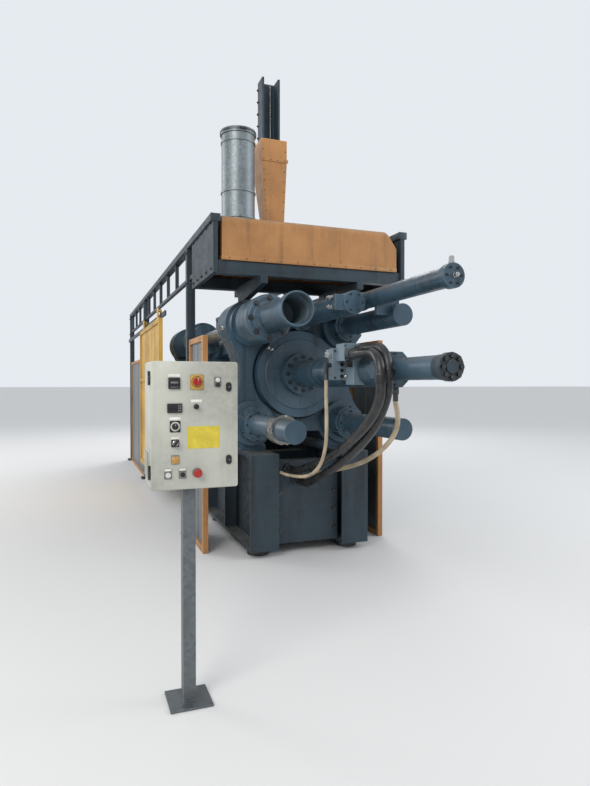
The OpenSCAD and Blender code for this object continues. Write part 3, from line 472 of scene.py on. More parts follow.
# %% lofts
def loft(bm, loops, mat=0, capped=True):
    """Skins a row of loops that all have as many points."""
    rows = [[bm.verts.new(p) for p in loop] for loop in loops]
    n = len(rows[0])
    for a, b in zip(rows, rows[1:]):
        for k in range(n):
            m = (k + 1) % n
            bm.faces.new((a[k], a[m], b[m], b[k])).material_index = mat
    if capped:
        bm.faces.new(rows[0][::-1]).material_index = mat
        bm.faces.new(rows[-1]).material_index = mat
    bmesh.ops.recalc_face_normals(bm, faces=bm.faces[:])


def corner_loop(x0, x1, z0, z1, r, y):
    """A rectangle with round corners in the plane y."""
    n = 5  # steps round a corner
    middles = ((x1 - r, z1 - r), (x0 + r, z1 - r), (x0 + r, z0 + r), (x1 - r, z0 + r))
    points = []
    for quarter, (cx, cz) in enumerate(middles):
        for k in range(n + 1):
            t = radians(90 * (quarter + k / n))
            points.append(Vector((cx + r * cos(t), y, cz + r * sin(t))))
    return points


print("points in a rounded outline:", len(corner_loop(0, 1, 0, 1, 0.1, 0)))

# %% [markdown]
# ## Tubes along a path
# Hoses and handles are tubes that follow a path. A curve object with a bevel depth is the usual
# way, and it is quick, but its rings can twist and its length has to be guessed. Here each ring is
# carried on from the one before, which keeps it from twisting, and the path is made finer by a
# curve that goes through every given point.

# %% tubes
def sweep(bm, path, radius, n, mat=0):
    """A tube of n sides along a path."""
    path = [Vector(p) for p in path]
    side = None
    loops = []
    for i, p in enumerate(path):
        t = (path[min(i + 1, len(path) - 1)] - path[max(i - 1, 0)]).normalized()
        side = (t.orthogonal() if side is None else side - side.dot(t) * t).normalized()
        up = t.cross(side)
        turns = [2 * pi * k / n for k in range(n)]
        loops.append([p + radius * (cos(a) * side + sin(a) * up) for a in turns])
    loft(bm, loops, mat)


def smooth_route(points):
    """A finer curve through the points."""
    steps = 3  # from each point to the next
    pts = [Vector(p) for p in points]
    out = []
    for i in range(len(pts) - 1):
        a, b, c, d = pts[max(i - 1, 0)], pts[i], pts[i + 1], pts[min(i + 2, len(pts) - 1)]
        for k in range(steps):
            t = k / steps
            out.append(0.5 * ((2 * b) + (c - a) * t + (2 * a - 5 * b + 4 * c - d) * t * t
                              + (3 * b - a - 3 * c + d) * t ** 3))
    return out + [pts[-1]]


print("tubes: rings carried along a path")

# %% [markdown]
# ## Where the hoses run
# Four hoses hang between the closing cylinder and the bed: two thick black ones that carry
# pressure, and two thin pale ones beside them. Each leaves its fitting straight down, sags back
# towards the bed in one wide bend, and runs level into a port there. They could be hung by a rope
# simulation, but the CAD model already holds their solids for the collision test, so the same
# points are used again. Each hose hangs in one upright plane, so two numbers a point are enough,
# in millimetres.

# %% hose routes
def upright(x, points):
    """The points of a hose in the upright plane x, from (y, z) in millimetres."""
    return [(x, y / 1000, z / 1000) for y, z in points]


THICK, THIN, MEDIUM = 0.064, 0.026, 0.034  # diameters
routes = {
    "hose_outer": (THICK, upright(-0.185, [
        (-4295, 1515), (-4295, 1465), (-4280, 1410), (-4235, 1345), (-4170, 1285), (-4080, 1222),
        (-3970, 1160), (-3850, 1100), (-3720, 1042), (-3580, 985), (-3430, 930), (-3280, 882),
        (-3120, 840), (-2960, 800), (-2800, 760), (-2645, 760)])),
    "hose_inner": (THICK, upright(-0.112, [
        (-4260, 1551), (-4260, 1500), (-4248, 1440), (-4210, 1370), (-4155, 1300), (-4085, 1230),
        (-3995, 1160), (-3890, 1092), (-3770, 1025), (-3640, 960), (-3500, 895), (-3350, 832),
        (-3190, 770), (-3030, 715), (-2860, 660), (-2645, 660)])),
    "hose_pale_left": (THIN, upright(-0.284, [
        (-3680, 1580), (-3680, 1480), (-3682, 1380), (-3686, 1280), (-3686, 1180), (-3676, 1090),
        (-3646, 1010), (-3596, 940), (-3528, 885), (-3445, 840), (-3340, 805), (-3200, 775),
        (-3020, 755), (-2830, 740), (-2645, 740)])),
    "hose_pale_right": (MEDIUM, upright(0.040, [
        (-4090, 1437), (-4090, 1385), (-4110, 1330), (-4120, 1270), (-4100, 1205), (-4050, 1145),
        (-3975, 1090), (-3880, 1035), (-3770, 985), (-3640, 935), (-3490, 890), (-3310, 845),
        (-3110, 800), (-2880, 740), (-2645, 740)])),
}
print("points of the hoses:", {node: len(route) for node, (d, route) in routes.items()})

# %% [markdown]
# ## Hose covers
# The covers replace the CAD solids. A hose has a fixed length, and its cover is a tube of its
# diameter along the fine path. Each thin hose gets the pale cover, and each thick one the black
# cover, which is stiffer.

# %% hose covers
for node, (d, route) in routes.items():
    fine = smooth_route(route)
    bm = bmesh.new()
    sweep(bm, fine, d / 2, 20)
    black = d == THICK
    hose = finish_mesh(node + "_cover", bm, ["hose" if black else "pale_hose"],
                       angle=60)
    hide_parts(node)

# %% [markdown]
# ## Castings and plates with rounded edges
# Castings, plates and turned parts have no knife edges: sand moulds round them and grinders break
# them. The CAD nodes have sharp edges, because a CAD kernel works best with plain faces. A Bevel
# modifier on the node itself isn't allowed, as a node's mesh stays as it is. So a copy is taken,
# its doubled points are merged, triangles that lie flat together become whole faces, and every
# edge sharper than an angle is bevelled. The new narrow faces get the rubbed, lighter paint, which
# draws a thin bright line along each edge as on the real castings.

# %% rounded castings
enamels = ("machine", "bed", "block", "pale", "orange", "yellow")
EDGES = {finish: finish + "_edge" for finish in enamels}
EDGES["cast"] = "machine_edge"


def soften(node, finish, width, body="machine", third=None):
    """A copy of a CAD node with its sharp edges rounded by a width and rubbed.

    third = (material, test): the faces that pass the test get that material.
    """
    bm = bmesh.new()
    bm.from_mesh(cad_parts[node].data)
    bmesh.ops.remove_doubles(bm, verts=bm.verts[:], dist=1e-5)
    bmesh.ops.dissolve_limit(bm, angle_limit=radians(0.5), verts=bm.verts[:], edges=bm.edges[:])
    for f in bm.faces:
        f.material_index = 0
    sharp = [e for e in bm.edges if len(e.link_faces) == 2 and e.calc_face_angle(0) > radians(30)]
    bmesh.ops.bevel(bm, geom=sharp, offset=width, offset_type="OFFSET", segments=2, profile=0.5,
                    affect="EDGES", clamp_overlap=True, material=1)
    mats = [finish, EDGES.get(finish, finish)]
    if third:
        mats.append(third[0])
        for f in bm.faces:
            if third[1](f):
                f.material_index = 2
    piece = finish_mesh(node + "_cast", bm, mats, body, angle=24, outward=False)
    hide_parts(node)


print("rounding is 1 to 6 mm, in two steps")

# %% [markdown]
# ## Which paint each casting wears
# A rough casting is rounded more than a welded beam, and a milled block least of all. The amount
# could be one number for all, but then a valve block would look cast. So this table groups the
# nodes by their finish, by the width of the rounding in metres, and by a paint slot's name.

# %% casting table
castings = (
    ("cast", 0.006, "machine_paint", ("rear_platen", "fixed_platen")),
    ("cast", 0.005, "machine_paint", ("moving_platen", "shot_frame")),
    ("machine", 0.004, "machine_paint", ("closing_cylinder", "rear_links", "front_links")),
    ("machine", 0.003, "machine_paint", ("upper_cylinder", "side_cylinder", "bar_puller",
                                         "shot_cylinder", "short_links")),
    ("machine", 0.003, "pale_paint", ("bar_covers", "cylinder_tail")),
    ("pale", 0.003, "pale_paint", ("ejector_cylinder", "accumulators", "pump_motor")),
    ("block", 0.002, "pale_paint", ("valve_block",)),
    ("block", 0.002, "bed_paint", ("port_block",)),
    ("bed", 0.004, "bed_paint", ("oil_tank",)),
    ("bed", 0.003, "bed_paint", ("crosshead", "bed_beam_left", "bed_beam_right",
                                 "bed_cross_members", "hood_frame", "rail_left", "rail_right")),
    ("bed", 0.002, "bed_paint", ("hose_fittings", "lift_mast")),
    ("steel", 0.003, "bare_steel", ("tie_bars", "tie_bar_nuts")),
    ("steel", 0.002, "bare_steel", ("toggle_pins", "closing_rod", "shot_sleeve", "shot_rod")),
    ("bolt", 0.002, "bare_steel", ("levelling_feet",)),
    ("orange", 0.003, "orange_paint", ("guard_frames", "lift_column")),
    ("post", 0.002, "galvanised", ("control_post",)),
)
print("castings in the table:", sum(len(nodes) for *_, nodes in castings))

# %% [markdown]
# ## Faces with a finish of their own
# Some nodes are one solid in CAD but have two finishes: the black hose bends that come out of
# painted fittings, the dark end of the rod cover, the bore of the bar puller, painted lighter than
# the casting as painted light in its shaded inside, and the rear nuts that were painted over with
# the platen. Each could be cut into a node of its own, but that would split a real part. A short
# test of where a face lies is enough to paint it differently.

# %% faces with their own finish
PULLER_X, PULLER_Z = -0.45, 2.05


def in_bore(face):
    """Whether a face of the puller lies on the wall or the floor of its bore."""
    r = max(((v.co.x - PULLER_X) ** 2 + (v.co.z - PULLER_Z) ** 2) ** 0.5 for v in face.verts)
    return r < 0.1 or (r < 0.1185 and face.calc_center_median().y < -3.475)


def on_bend(face):
    """Whether a face lies on one of the two black bends or its sleeve."""
    low = 1.51 if face.verts[0].co.x < -0.15 else 1.546
    return all(v.co.x < -0.06 and v.co.y < -3.905 and v.co.z > low for v in face.verts)


def at_dark_end(face):
    """Whether a face lies on the dark round end of the rod cover."""
    return all(v.co.y < -4.668 for v in face.verts)


def on_rear_nut(face):
    """Whether a face lies on a nut at the rear platen."""
    return -2.6 < face.calc_center_median().y < -2.3


# the bore's lighter paint is painted light in its shaded inside
own_finish = {"hose_fittings": ("hose", on_bend), "cylinder_tail": ("bed", at_dark_end),
              "bar_puller": ("bore", in_bore), "tie_bar_nuts": ("machine", on_rear_nut)}
for finish, width, slot, nodes in castings:
    for node in nodes:
        soften(node, finish, width, third=own_finish.get(node))
print("nodes with a third finish:", len(own_finish))

# %% [markdown]
# ## The guard sheets
# The guards are filled with flat galvanised sheet, which is too thin to round. Its CAD node is
# right as it is, so nothing is drawn again: its object only gets the zinc, by clearing the
# material slots and putting the new material in.

# %% guard sheets
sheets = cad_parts["guard_sheets"].data
sheets.materials.clear()
sheets.materials.append(M["zinc"])
print("guard sheets:", sheets.materials[0].name)

# %% [markdown]
# ## A node group for what repeats
# The machine is held together by hundreds of screws, nuts and rivets on circles and in rows. A
# loop in the script could copy each one, but Geometry Nodes are made for this: points first, one
# head on every point, then real geometry. This helper builds such a group. Its named inputs are
# the count, the pattern's size, the head's size, its turn, which head, and its finish. Screws get
# a random turn from a fixed seed, since nobody lines them up, while fins all face away from their
# shaft. The group ends in Realize Instances and Set Material, because an export drops instances.

# %% group for heads
def fastener_group(name, sockets, points, radial=False):
    """A node group that puts one head on every point that points() makes."""
    ng = bpy.data.node_groups.new(name, "GeometryNodeTree")
    ng.interface.new_socket("Geometry", in_out="INPUT", socket_type="NodeSocketGeometry")
    shared = [("Size", "Vector"), ("Turn", "Float"), ("Head", "Object"), ("Finish", "Material")]
    for label, kind in sockets + shared:
        ng.interface.new_socket(label, in_out="INPUT", socket_type="NodeSocket" + kind)
    ng.interface.new_socket("Geometry", in_out="OUTPUT", socket_type="NodeSocketGeometry")
    given = ng.nodes.new("NodeGroupInput").outputs
    head = add(ng, "GeometryNodeObjectInfo", Object=given["Head"]).outputs["Geometry"]
    if radial:
        step = add(ng, "ShaderNodeMath", operation="DIVIDE")
        step.inputs[0].default_value = 2 * pi
        ng.links.new(given["Count"], step.inputs[1])
        angle = times(ng, ng.nodes.new("GeometryNodeInputIndex").outputs[0], step.outputs[0])
    else:
        chance = add(ng, "FunctionNodeRandomValue", data_type="FLOAT", Seed=7)
        angle = times(ng, chance.outputs[1], given["Turn"])
    turn = add(ng, "ShaderNodeCombineXYZ", Z=angle)
    placed = add(ng, "GeometryNodeInstanceOnPoints", Points=points(ng, given), Instance=head,
                 Rotation=turn.outputs[0], Scale=given["Size"])
    real = add(ng, "GeometryNodeRealizeInstances", Geometry=placed.outputs[0])
    coated = add(ng, "GeometryNodeSetMaterial", Geometry=real.outputs[0], Material=given["Finish"])
    ng.links.new(coated.outputs[0], ng.nodes.new("NodeGroupOutput").inputs[0])
    return ng


print("inputs of every group: Size, Turn, Head, Finish")

# %% [markdown]
# ## Circle, row and fins
# Flange screws sit on a circle, rivets sit in a row, and a motor's cooling fins stand round its
# barrel. Each pattern is one node that makes points, a Mesh Circle or a Mesh Line, and the groups
# differ only in that node and in how a head is turned. Curves resampled to a count would work too,
# but the mesh nodes give the exact count without a spacing to compute.

# %% three patterns
def circle_points(ng, given):
    """One point for each head, on a circle."""
    circle = add(ng, "GeometryNodeMeshCircle", Vertices=given["Count"], Radius=given["Radius"])
    return circle.outputs[0]


def row_points(ng, given):
    """One point for each head, a step apart."""
    line = add(ng, "GeometryNodeMeshLine", mode="OFFSET", Count=given["Count"],
               Offset=given["Step"])
    return line.outputs[0]


circle_inputs = [("Count", "Int"), ("Radius", "Float")]
row_inputs = [("Count", "Int"), ("Step", "Vector")]
on_circle = fastener_group("heads_on_circle", circle_inputs, circle_points)
in_row = fastener_group("heads_in_row", row_inputs, row_points)
fins_round = fastener_group("fins_round_a_shaft", circle_inputs, circle_points, radial=True)
print("groups:", on_circle.name, in_row.name, fins_round.name)

# %% [markdown]
# ## The heads
# A hexagon head sits on a washer, a cap screw has a round head with a deep socket, a rivet is a
# low dome, and a rib is a rounded bar. Each is drawn once at a size of one, and the group scales
# it. They have few faces, because hundreds of them are joined to the pieces. The objects are only
# patterns for the groups, and are removed at the end.

# %% heads
def head_object(name, build):
    """An object that build() draws, for a group to copy."""
    bm = bmesh.new()
    build(bm)
    bmesh.ops.recalc_face_normals(bm, faces=bm.faces[:])
    me = bpy.data.meshes.new(name)
    bm.to_mesh(me)
    bm.free()
    ob = bpy.data.objects.new(name, me)
    scene.collection.objects.link(ob)
    return ob


def hex_head(bm):
    """One across its flats, on a washer."""
    lathe(bm, [(0.98, 0), (0.98, 0.1), (0.94, 0.13), (0, 0.13)], n=16)
    hexagon(bm, Matrix.Translation((0, 0, 0.13)), 1.0, 0.62)


def cap_head(bm):
    """A knurled head's outline with its socket."""
    lathe(bm, [(0.5, 0), (0.5, 0.52), (0.46, 0.58), (0.31, 0.58), (0.29, 0.3), (0, 0.3)], n=12)


def dome_head(bm):
    """A rivet or pan head."""
    lathe(bm, [(0.5, 0), (0.49, 0.1), (0.4, 0.22), (0.22, 0.3), (0, 0.32)], n=12)


def unit_rib(bm):
    """A bar of one each way."""
    rounded(bm, (-0.5, -0.5, -0.5), (0.5, 0.5, 0.5), 0.12, 0, 1)


heads = {"hex": head_object("hex_head", hex_head), "cap": head_object("cap_head", cap_head),
         "dome": head_object("dome_head", dome_head), "rib": head_object("rib", unit_rib)}
host = head_object("host", lambda bm: bm.verts.new((0, 0, 0)))
print("faces of a head:", {key: len(ob.data.polygons) for key, ob in heads.items()})

# %% [markdown]
# ## Setting heads out
# A group runs as a modifier on an empty host. Its inputs are set by each socket's identifier,
# since the names are only labels. The evaluated result becomes a plain mesh, which is moved to its
# place and joined to the piece that it holds, and the modifier is taken off. Three short names are
# then enough for all but the motor's fins: a ring of screws, a row of rivets, and a row of ribs.

# %% ring, row and ribs
ANY_TURN = 6.28  # radians, the most that a screw is turned by chance


def spread(bm, group, head, size, matrix, mat, **given):
    """Runs a group, and joins what it makes to bm; a size of one number is the same all ways."""
    one = isinstance(size, float)
    mod = host.modifiers.new("spread", "NODES")
    mod.node_group = group
    given.update(Size=(size,) * 3 if one else size, Turn=ANY_TURN if one else 0.0,
                 Head=heads[head], Finish=M["bolt"])
    for item in group.interface.items_tree:
        if item.in_out == "INPUT" and item.name in given:
            mod[item.identifier] = given[item.name]
    host.update_tag()
    shown = host.evaluated_get(bpy.context.evaluated_depsgraph_get())
    me = bpy.data.meshes.new_from_object(shown)
    host.modifiers.remove(mod)
    me.transform(matrix)
    old = len(bm.faces)
    bm.from_mesh(me)
    bm.faces.ensure_lookup_table()
    for f in bm.faces[old:]:
        f.material_index = mat
    bpy.data.meshes.remove(me)


def ring(bm, count, radius, at, axis=CLOSING, size=0.02, head="cap", mat=0):
    """Heads on a circle round at, which look along axis."""
    spread(bm, on_circle, head, size, toward(axis, at), mat, Count=count, Radius=radius)


def row(bm, count, at, step, axis=CLOSING, size=0.01, head="dome", mat=0):
    """Heads in a row from at, a step apart, which look along axis."""
    turn = toward(axis, at)
    local = turn.to_3x3().inverted() @ Vector(step)
    spread(bm, in_row, head, size, turn, mat, Count=count, Step=local)


def ribs(bm, count, at, step, size, mat=0):
    """A row of ribs of one size, their middles a step apart."""
    spread(bm, in_row, "rib", size, Matrix.Translation(at), mat, Count=count, Step=step)


print("set out by:", ring.__name__, row.__name__, ribs.__name__)

# %% [markdown]
# ## Screws and disc at the clamp end
# The closing cylinder is bolted to the rear platen through a wide turned disc, and every cylinder
# and bar cover has its own circle of screws. The disc's face is smooth and lighter than the rough
# casting round it, so a thin turned ring is laid over it. A photograph shows cap screws on the
# flanges and one ring of large hexagon bolts on the bar puller, and their circles are measured
# from the flanges.

# %% clamp end screws
AXIS = 1.6  # height of the closing axis
BAR_X, BAR_LOW, BAR_HIGH = 0.45, 1.15, 2.05
BARS = [(x, z) for x in (-BAR_X, BAR_X) for z in (BAR_LOW, BAR_HIGH)]
UPPER_X, UPPER_Z = 0.03, 2.125  # the upper cylinder's axis
LONG_X, LONG_Z = 0.25, 2.18  # the long cylinder's axis

bm = bmesh.new()
disc = [(0.190, 0), (0.190, 0.006), (0.322, 0.006), (0.330, 0.0)]
lathe(bm, disc, toward(CLOSING, (0, -2.4, AXIS)), 96, 1)
ring(bm, 12, 0.155, (0, -2.51, AXIS), size=0.032)  # closing cylinder, at the platen
ring(bm, 8, 0.1045, (0, -4.15, AXIS), size=0.016)  # rod cover
for x, z in BARS:
    if (x, z) != (PULLER_X, PULLER_Z):
        ring(bm, 8, 0.106, (x, -2.574, z), size=0.018)  # bar cover
    ring(bm, 6, 0.12, (x, 1.22, z), SHOT, 0.024)  # front nut
ring(bm, 8, 0.165, (PULLER_X, -2.90, PULLER_Z), size=0.026, head="hex")
ring(bm, 8, 0.105, (UPPER_X, -2.38, UPPER_Z), size=0.016)
ring(bm, 6, 0.055, (LONG_X, -4.44, LONG_Z), size=0.016)
ring(bm, 6, 0.068, (UPPER_X, -3.50, UPPER_Z), size=0.014)
finish_mesh("clamp_end_screws", bm, ["bolt", "disc"])
print("tie bars at", BARS)

# %% [markdown]
# ## The dark end of the rod cover
# The cover of the closing cylinder's rod ends in an octagonal block with a dark round end. It has
# eight hexagon bolts on its face and eight cap screws round its rim, with a small plug in the
# middle. Its solid is in the CAD node, so only what is bolted to it is added here. Each rim screw
# looks straight out, so its place and its axis come from the same angle.

# %% rod cover end
ROD_END, RIM = -4.77, 8
bm = bmesh.new()
lathe(bm, [(0, 0), (0.040, 0), (0.040, 0.010), (0.037, 0.014), (0, 0.014)],
      toward(CLOSING, (0, ROD_END + 0.001, AXIS)))
ring(bm, 8, 0.060, (0, ROD_END, AXIS), size=0.024, head="hex", mat=1)
for k in range(RIM):
    t = 2 * pi * (k + 0.5) / RIM
    out = Vector((cos(t), 0, sin(t)))
    ring(bm, 1, 0.0, Vector((0, ROD_END + 0.07, AXIS)) + out * 0.073, out, 0.018, "cap", 1)
finish_mesh("rod_cover_cap", bm, ["bed", "bolt"])
print("rim screws every", 360 / RIM, "degrees")

# %% [markdown]
# ## Fittings on the ports
# Oil enters and leaves a cylinder through threaded ports. On each sits a hexagon adapter with a
# short neck and a union nut, all nickel bright between the painted parts. They could be bought
# parts from a library, but one short recipe of two hexagons and a neck gives every size in the
# right proportion, since real fittings grow in the same way.

# %% port fittings
def fitting(bm, at, axis, size):
    """A hexagon adapter with its neck, its union nut and the pipe's stub."""
    m = toward(axis, at)
    hexagon(bm, m, size, size * 0.45)
    lathe(bm, [(size * 0.36, 0), (size * 0.36, size * 0.75)], m, 20)
    hexagon(bm, m @ Matrix.Translation((0, 0, size * 0.6)), size * 0.9, size * 0.6)
    lathe(bm, [(size * 0.3, 0), (size * 0.28, size * 1.5), (0, size * 1.5)], m, 20)


ports = [((-0.12, -3.425, 2.09), LEFT, 0.036), ((-0.12, -3.425, 2.16), LEFT, 0.036),
         ((LONG_X, -4.41, 2.26), UP, 0.036), ((LONG_X, -4.44, LONG_Z), CLOSING, 0.03),
         ((-0.05, -4.09, 1.717), UP, 0.03), ((-0.25, -3.685, 1.70), LEFT, 0.026),
         ((-0.15, -3.722, 1.557), CLOSING, 0.024), ((UPPER_X, -2.98, 1.731), UP, 0.04),
         ((-0.305, -2.399, 1.835), CLOSING, 0.026), ((-0.272, -2.399, 1.822), CLOSING, 0.026)]
ports += [((-0.698, y, 2.018), LEFT, 0.022) for y in (-2.238, -2.195, -2.152)]
bm = bmesh.new()
for at, axis, size in ports:
    fitting(bm, at, axis, size)
rounded(bm, (-0.699, -2.26, 2.000), (-0.670, -2.13, 2.036))  # holds the last three
finish_mesh("port_fittings", bm, ["chrome"])
print("ports with fittings:", len(ports))

# %% [markdown]
# ## The valve block's face
# The block beside the closing cylinder has five threaded ports in a column, two small plates and
# the screws that hold it. A port is a hole with a low lip. The hole isn't cut into the block,
# because a black ring with a deep floor reads as a hole and needs no boolean, which can fail on
# bevelled faces. The black of the ring and its floor is painted shade, for the dark depth of the
# hole.

# %% valve block ports
port_heights = (1.56, 1.602, 1.644, 1.686, 1.728)
lip_and_floor = [(0.0135, 0), (0.0135, 0.003), (0.009, 0.003), (0.009, -0.012), (0, -0.012)]
bm = bmesh.new()
# black lip and floor: painted shade of each hole's depth
for z in port_heights:
    lathe(bm, lip_and_floor, toward(CLOSING, (-0.18, -3.72, z)), 24)
for z in (1.62, 1.70):
    rounded(bm, (-0.212, -3.852, z), (-0.16, -3.848, z + 0.05), 0.001, 1)
row(bm, 2, (-0.235, -3.72, 1.55), (0, 0, 0.19), size=0.014, head="cap", mat=1)
row(bm, 2, (-0.215, -3.85, 1.68), (0, 0, 0.09), size=0.012, head="cap", mat=1)
finish_mesh("valve_block_ports", bm, ["black", "bolt"])
print("open ports on the valve block:", len(port_heights))

# %% [markdown]
# ## Hose ends
# A hose ends in a steel ferrule, which a press crimps onto the cover in five shallow steps, and in
# a hexagon nut behind it. A hose that just ran into a fitting would look glued on. The profile is
# turned as one ring, a little wider than the hose, and its axis is the hose's own first or last
# direction, so it stays in line when a route is changed.

# %% hose ends
def ferrule(bm, at, axis, r, length):
    """A crimped sleeve with its shallow grooves."""
    grooves = 5
    pitch = length / grooves
    profile = [(r * 0.99, -0.002)]
    for k in range(grooves):
        h = pitch * k
        profile += [(r * 1.10, h + 0.002), (r * 1.10, h + pitch * 0.62),
                    (r * 1.04, h + pitch * 0.8)]
    profile += [(r * 1.02, length), (r * 0.98, length + 0.002)]
    lathe(bm, profile, toward(axis, at), 28)


def hose_end(bm, at, following, d):
    """A ferrule and its nut, in line with the way to the hose's next point."""
    at = Vector(at)
    way = (Vector(following) - at).normalized()
    ferrule(bm, at, way, d / 2, 0.075 if d == THICK else 0.045)
    hexagon(bm, toward(way, at - way * 0.03), d * 1.32, 0.028)


bm = bmesh.new()
for d, route in routes.values():
    if d != THICK:
        hose_end(bm, route[0], route[1], d)
    hose_end(bm, route[-1], route[-2], d)
for x, z in ((-0.185, 1.710), (-0.112, 1.746)):
    ferrule(bm, (x, -3.911, z), CLOSING, 0.030, 0.065)
finish_mesh("hose_ferrules", bm, ["bolt"])
print("hoses with ferrules:", len(routes))

# %% [markdown]
# ## The spray hood
# An orange sheet hood covers the clamp end. Its edges are folded to a lip, the sheets are stitched
# together by cover strips, and rivets run along lip and strips. The hood's own node is thin sheet,
# so it is rounded by little more than a millimetre. The strips and lips are added as narrow boxes,
# and the rivets are rows whose step divides each side evenly.

# %% hood
SHEET_EDGE = 0.0012  # rounding of a thin sheet's edge
soften("top_hood", "orange", SHEET_EDGE)

bm = bmesh.new()
x0, x1, y0, y1, low, top = -0.82, 0.81, -2.775, -1.85, 2.53, 2.9
strips = (-0.30, 0.25)
for y in (y0 - 0.003, y1 - 0.001):
    rounded(bm, (x0 - 0.002, y, low), (x1 + 0.002, y + 0.004, low + 0.035), 0.0015)
for x in (x0 - 0.003, x1 - 0.001):
    rounded(bm, (x, y0, low), (x + 0.004, y1, low + 0.035), 0.0015)
for x in strips:
    rounded(bm, (x - 0.012, y0 - 0.002, low + 0.03), (x + 0.012, y0 + 0.002, top - 0.06), 0.0015)
row(bm, 11, (x0 + 0.06, y0 - 0.003, low + 0.018), (0.151, 0, 0), size=0.012, mat=1)
for x, axis in ((x0 - 0.003, LEFT), (x1 + 0.003, RIGHT)):
    row(bm, 7, (x, y0 + 0.06, low + 0.018), (0, 0.134, 0), axis, 0.012, mat=1)
for x in strips:
    row(bm, 5, (x, y0 - 0.002, low + 0.06), (0, 0, 0.058), size=0.007, mat=1)
finish_mesh("hood_trim", bm, ["orange", "bolt"])
print("hood:", round(x1 - x0, 2), "m wide,", round(y1 - y0, 2), "m deep")

# %% [markdown]
# ## The duct stub
# Fumes leave through a round duct of galvanised sheet. It stands on a riveted flange, has three
# beads rolled into it for stiffness, and ends in a band that a screw pulls tight. As everything on
# it but the band's ears is round, one profile turned about Z makes the whole stub: up the outside
# over the beads, over the rim, and down the inside to the floor, so the wall has its real
# thickness.

# %% duct
x, y, foot = -0.61, -2.5, 2.9
r, height = 0.145, 0.8
outside = [(r + 0.030, 0), (r + 0.030, 0.005), (r + 0.003, 0.007), (r, 0.012)]
for h in (0.03, 0.255, 0.685):
    outside += [(r, h), (r + 0.007, h + 0.003), (r + 0.008, h + 0.012), (r + 0.007, h + 0.021),
                (r, h + 0.024)]
outside += [(r, 0.758), (r + 0.011, 0.760), (r + 0.012, 0.766), (r + 0.012, 0.794),
            (r + 0.010, height)]
inside = [(r - 0.003, height), (r - 0.003, 0.006), (0, 0.006)]
band = [(r + 0.012, 0), (r + 0.0145, 0.001), (r + 0.0145, 0.019), (r + 0.012, 0.02)]
screw_y, screw_z = y - r - 0.020, foot + 0.78

bm = bmesh.new()
lathe(bm, outside + inside, Matrix.Translation((x, y, foot)), 72)
ring(bm, 10, r + 0.018, (x, y, foot + 0.005), UP, 0.010, "dome", 1)
lathe(bm, band, Matrix.Translation((x, y, foot + 0.77)), 72, 1)
for ear in (-0.018, 0.012):
    rounded(bm, (x + ear, screw_y - 0.008, screw_z - 0.012),
            (x + ear + 0.006, screw_y + 0.010, screw_z + 0.012), 0.001, 1)
hexagon(bm, toward(RIGHT, (x + 0.018, screw_y, screw_z)), 0.013, 0.008, 1)
screw = [(0.003, 0), (0.003, 0.06), (0, 0.06)]
lathe(bm, screw, toward(RIGHT, (x - 0.03, screw_y, screw_z)), 10, 1)
duct = finish_mesh("duct_stub", bm, ["zinc", "bolt"], angle=50)
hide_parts("duct_spigot")
print("duct:", 2 * r, "m across")

# %% [markdown]
# ## The lift column and its mast
# Beside the duct an orange column, wider at its top than at its foot, carries the mast of the spray
# unit. The column is folded sheet, riveted along its edges and held by a band. The mast above it
# is a steel channel with a rod, a narrow strip and clamping bolts. The column's sides lean out, so
# each row of rivets takes a step that has a small part sideways, and follows the edge without any
# turning.

# %% column and mast
column_x, column_y, mast_y = -0.27, -2.486, -2.2625
bm = bmesh.new()
for side in (-1, 1):
    row(bm, 8, (column_x + side * 0.074, column_y + 0.005, 2.97), (side * 0.0045, 0, 0.09),
        size=0.010, mat=1)
rounded(bm, (column_x - 0.13, column_y, 3.50), (column_x + 0.13, column_y + 0.006, 3.53), 0.002)
rounded(bm, (column_x - 0.11, column_y + 0.001, 2.9), (column_x + 0.11, -2.36, 2.908), 0.002)
row(bm, 4, (column_x - 0.10, column_y, 3.515), (0.066, 0, 0), size=0.010, mat=1)
lathe(bm, [(0.004, 0), (0.004, 0.56), (0, 0.56)], Matrix.Translation((-0.25, -2.30, 3.72)), 12, 2)
rounded(bm, (-0.345, -2.30, 3.74), (-0.332, -2.285, 4.28), 0.001, 2)
for side, axis in ((-1, LEFT), (1, RIGHT)):
    row(bm, 5, (column_x + side * 0.085, mast_y, 3.78), (0, 0, 0.11), axis, 0.016, "hex", 1)
finish_mesh("column_trim", bm, ["orange", "bolt", "steel"])
print("column rivets:", 2 * 8, "mast bolts:", 2 * 5)

# %% [markdown]
# ## The box's folded pans
# The control box is two pans of folded sheet: the body, closed at the back, and the door, closed
# at the front. A solid box would show no thickness at the open door. The pan is a row of rounded
# outlines: a quarter circle from the face over its edge, along the outside, over the rim, and back
# along the inside. One helper makes both pans, since they differ only in which side is closed.

# %% pan helper
BOX_X0, BOX_X1, BOX_Z0, BOX_Z1 = -1.638, -1.234, 1.018, 1.608
FACE, RIM_Y, REAR = -4.815, -4.794, -4.584  # the door's face, the body's rim and its back
CORNER, SHEET = 0.012, 0.002
HINGE_X, HINGE_Y = -1.645, -4.795
HINGES = (BOX_Z0 + 0.08, BOX_Z1 - 0.08)


def outline(inset, y, r):
    """The box's outline, moved in by inset, in the plane y."""
    return corner_loop(BOX_X0 + inset, BOX_X1 - inset, BOX_Z0 + inset, BOX_Z1 - inset, r, y)


def pan(bm, front, back, edge):
    """A folded pan: closed and rounded at front, open at back."""
    s = 1 if back > front else -1
    loops = []
    for k in range(4):
        a = radians(90 * k / 3)
        inset = edge * (1 - sin(a))
        loops.append(outline(inset, front + s * edge * (1 - cos(a)), max(CORNER - inset, 0.001)))
    loops.append(outline(0, back, CORNER))
    loops.append(outline(SHEET, back, CORNER - SHEET))
    loops.append(outline(SHEET, front + s * SHEET, CORNER - SHEET))
    loft(bm, loops)


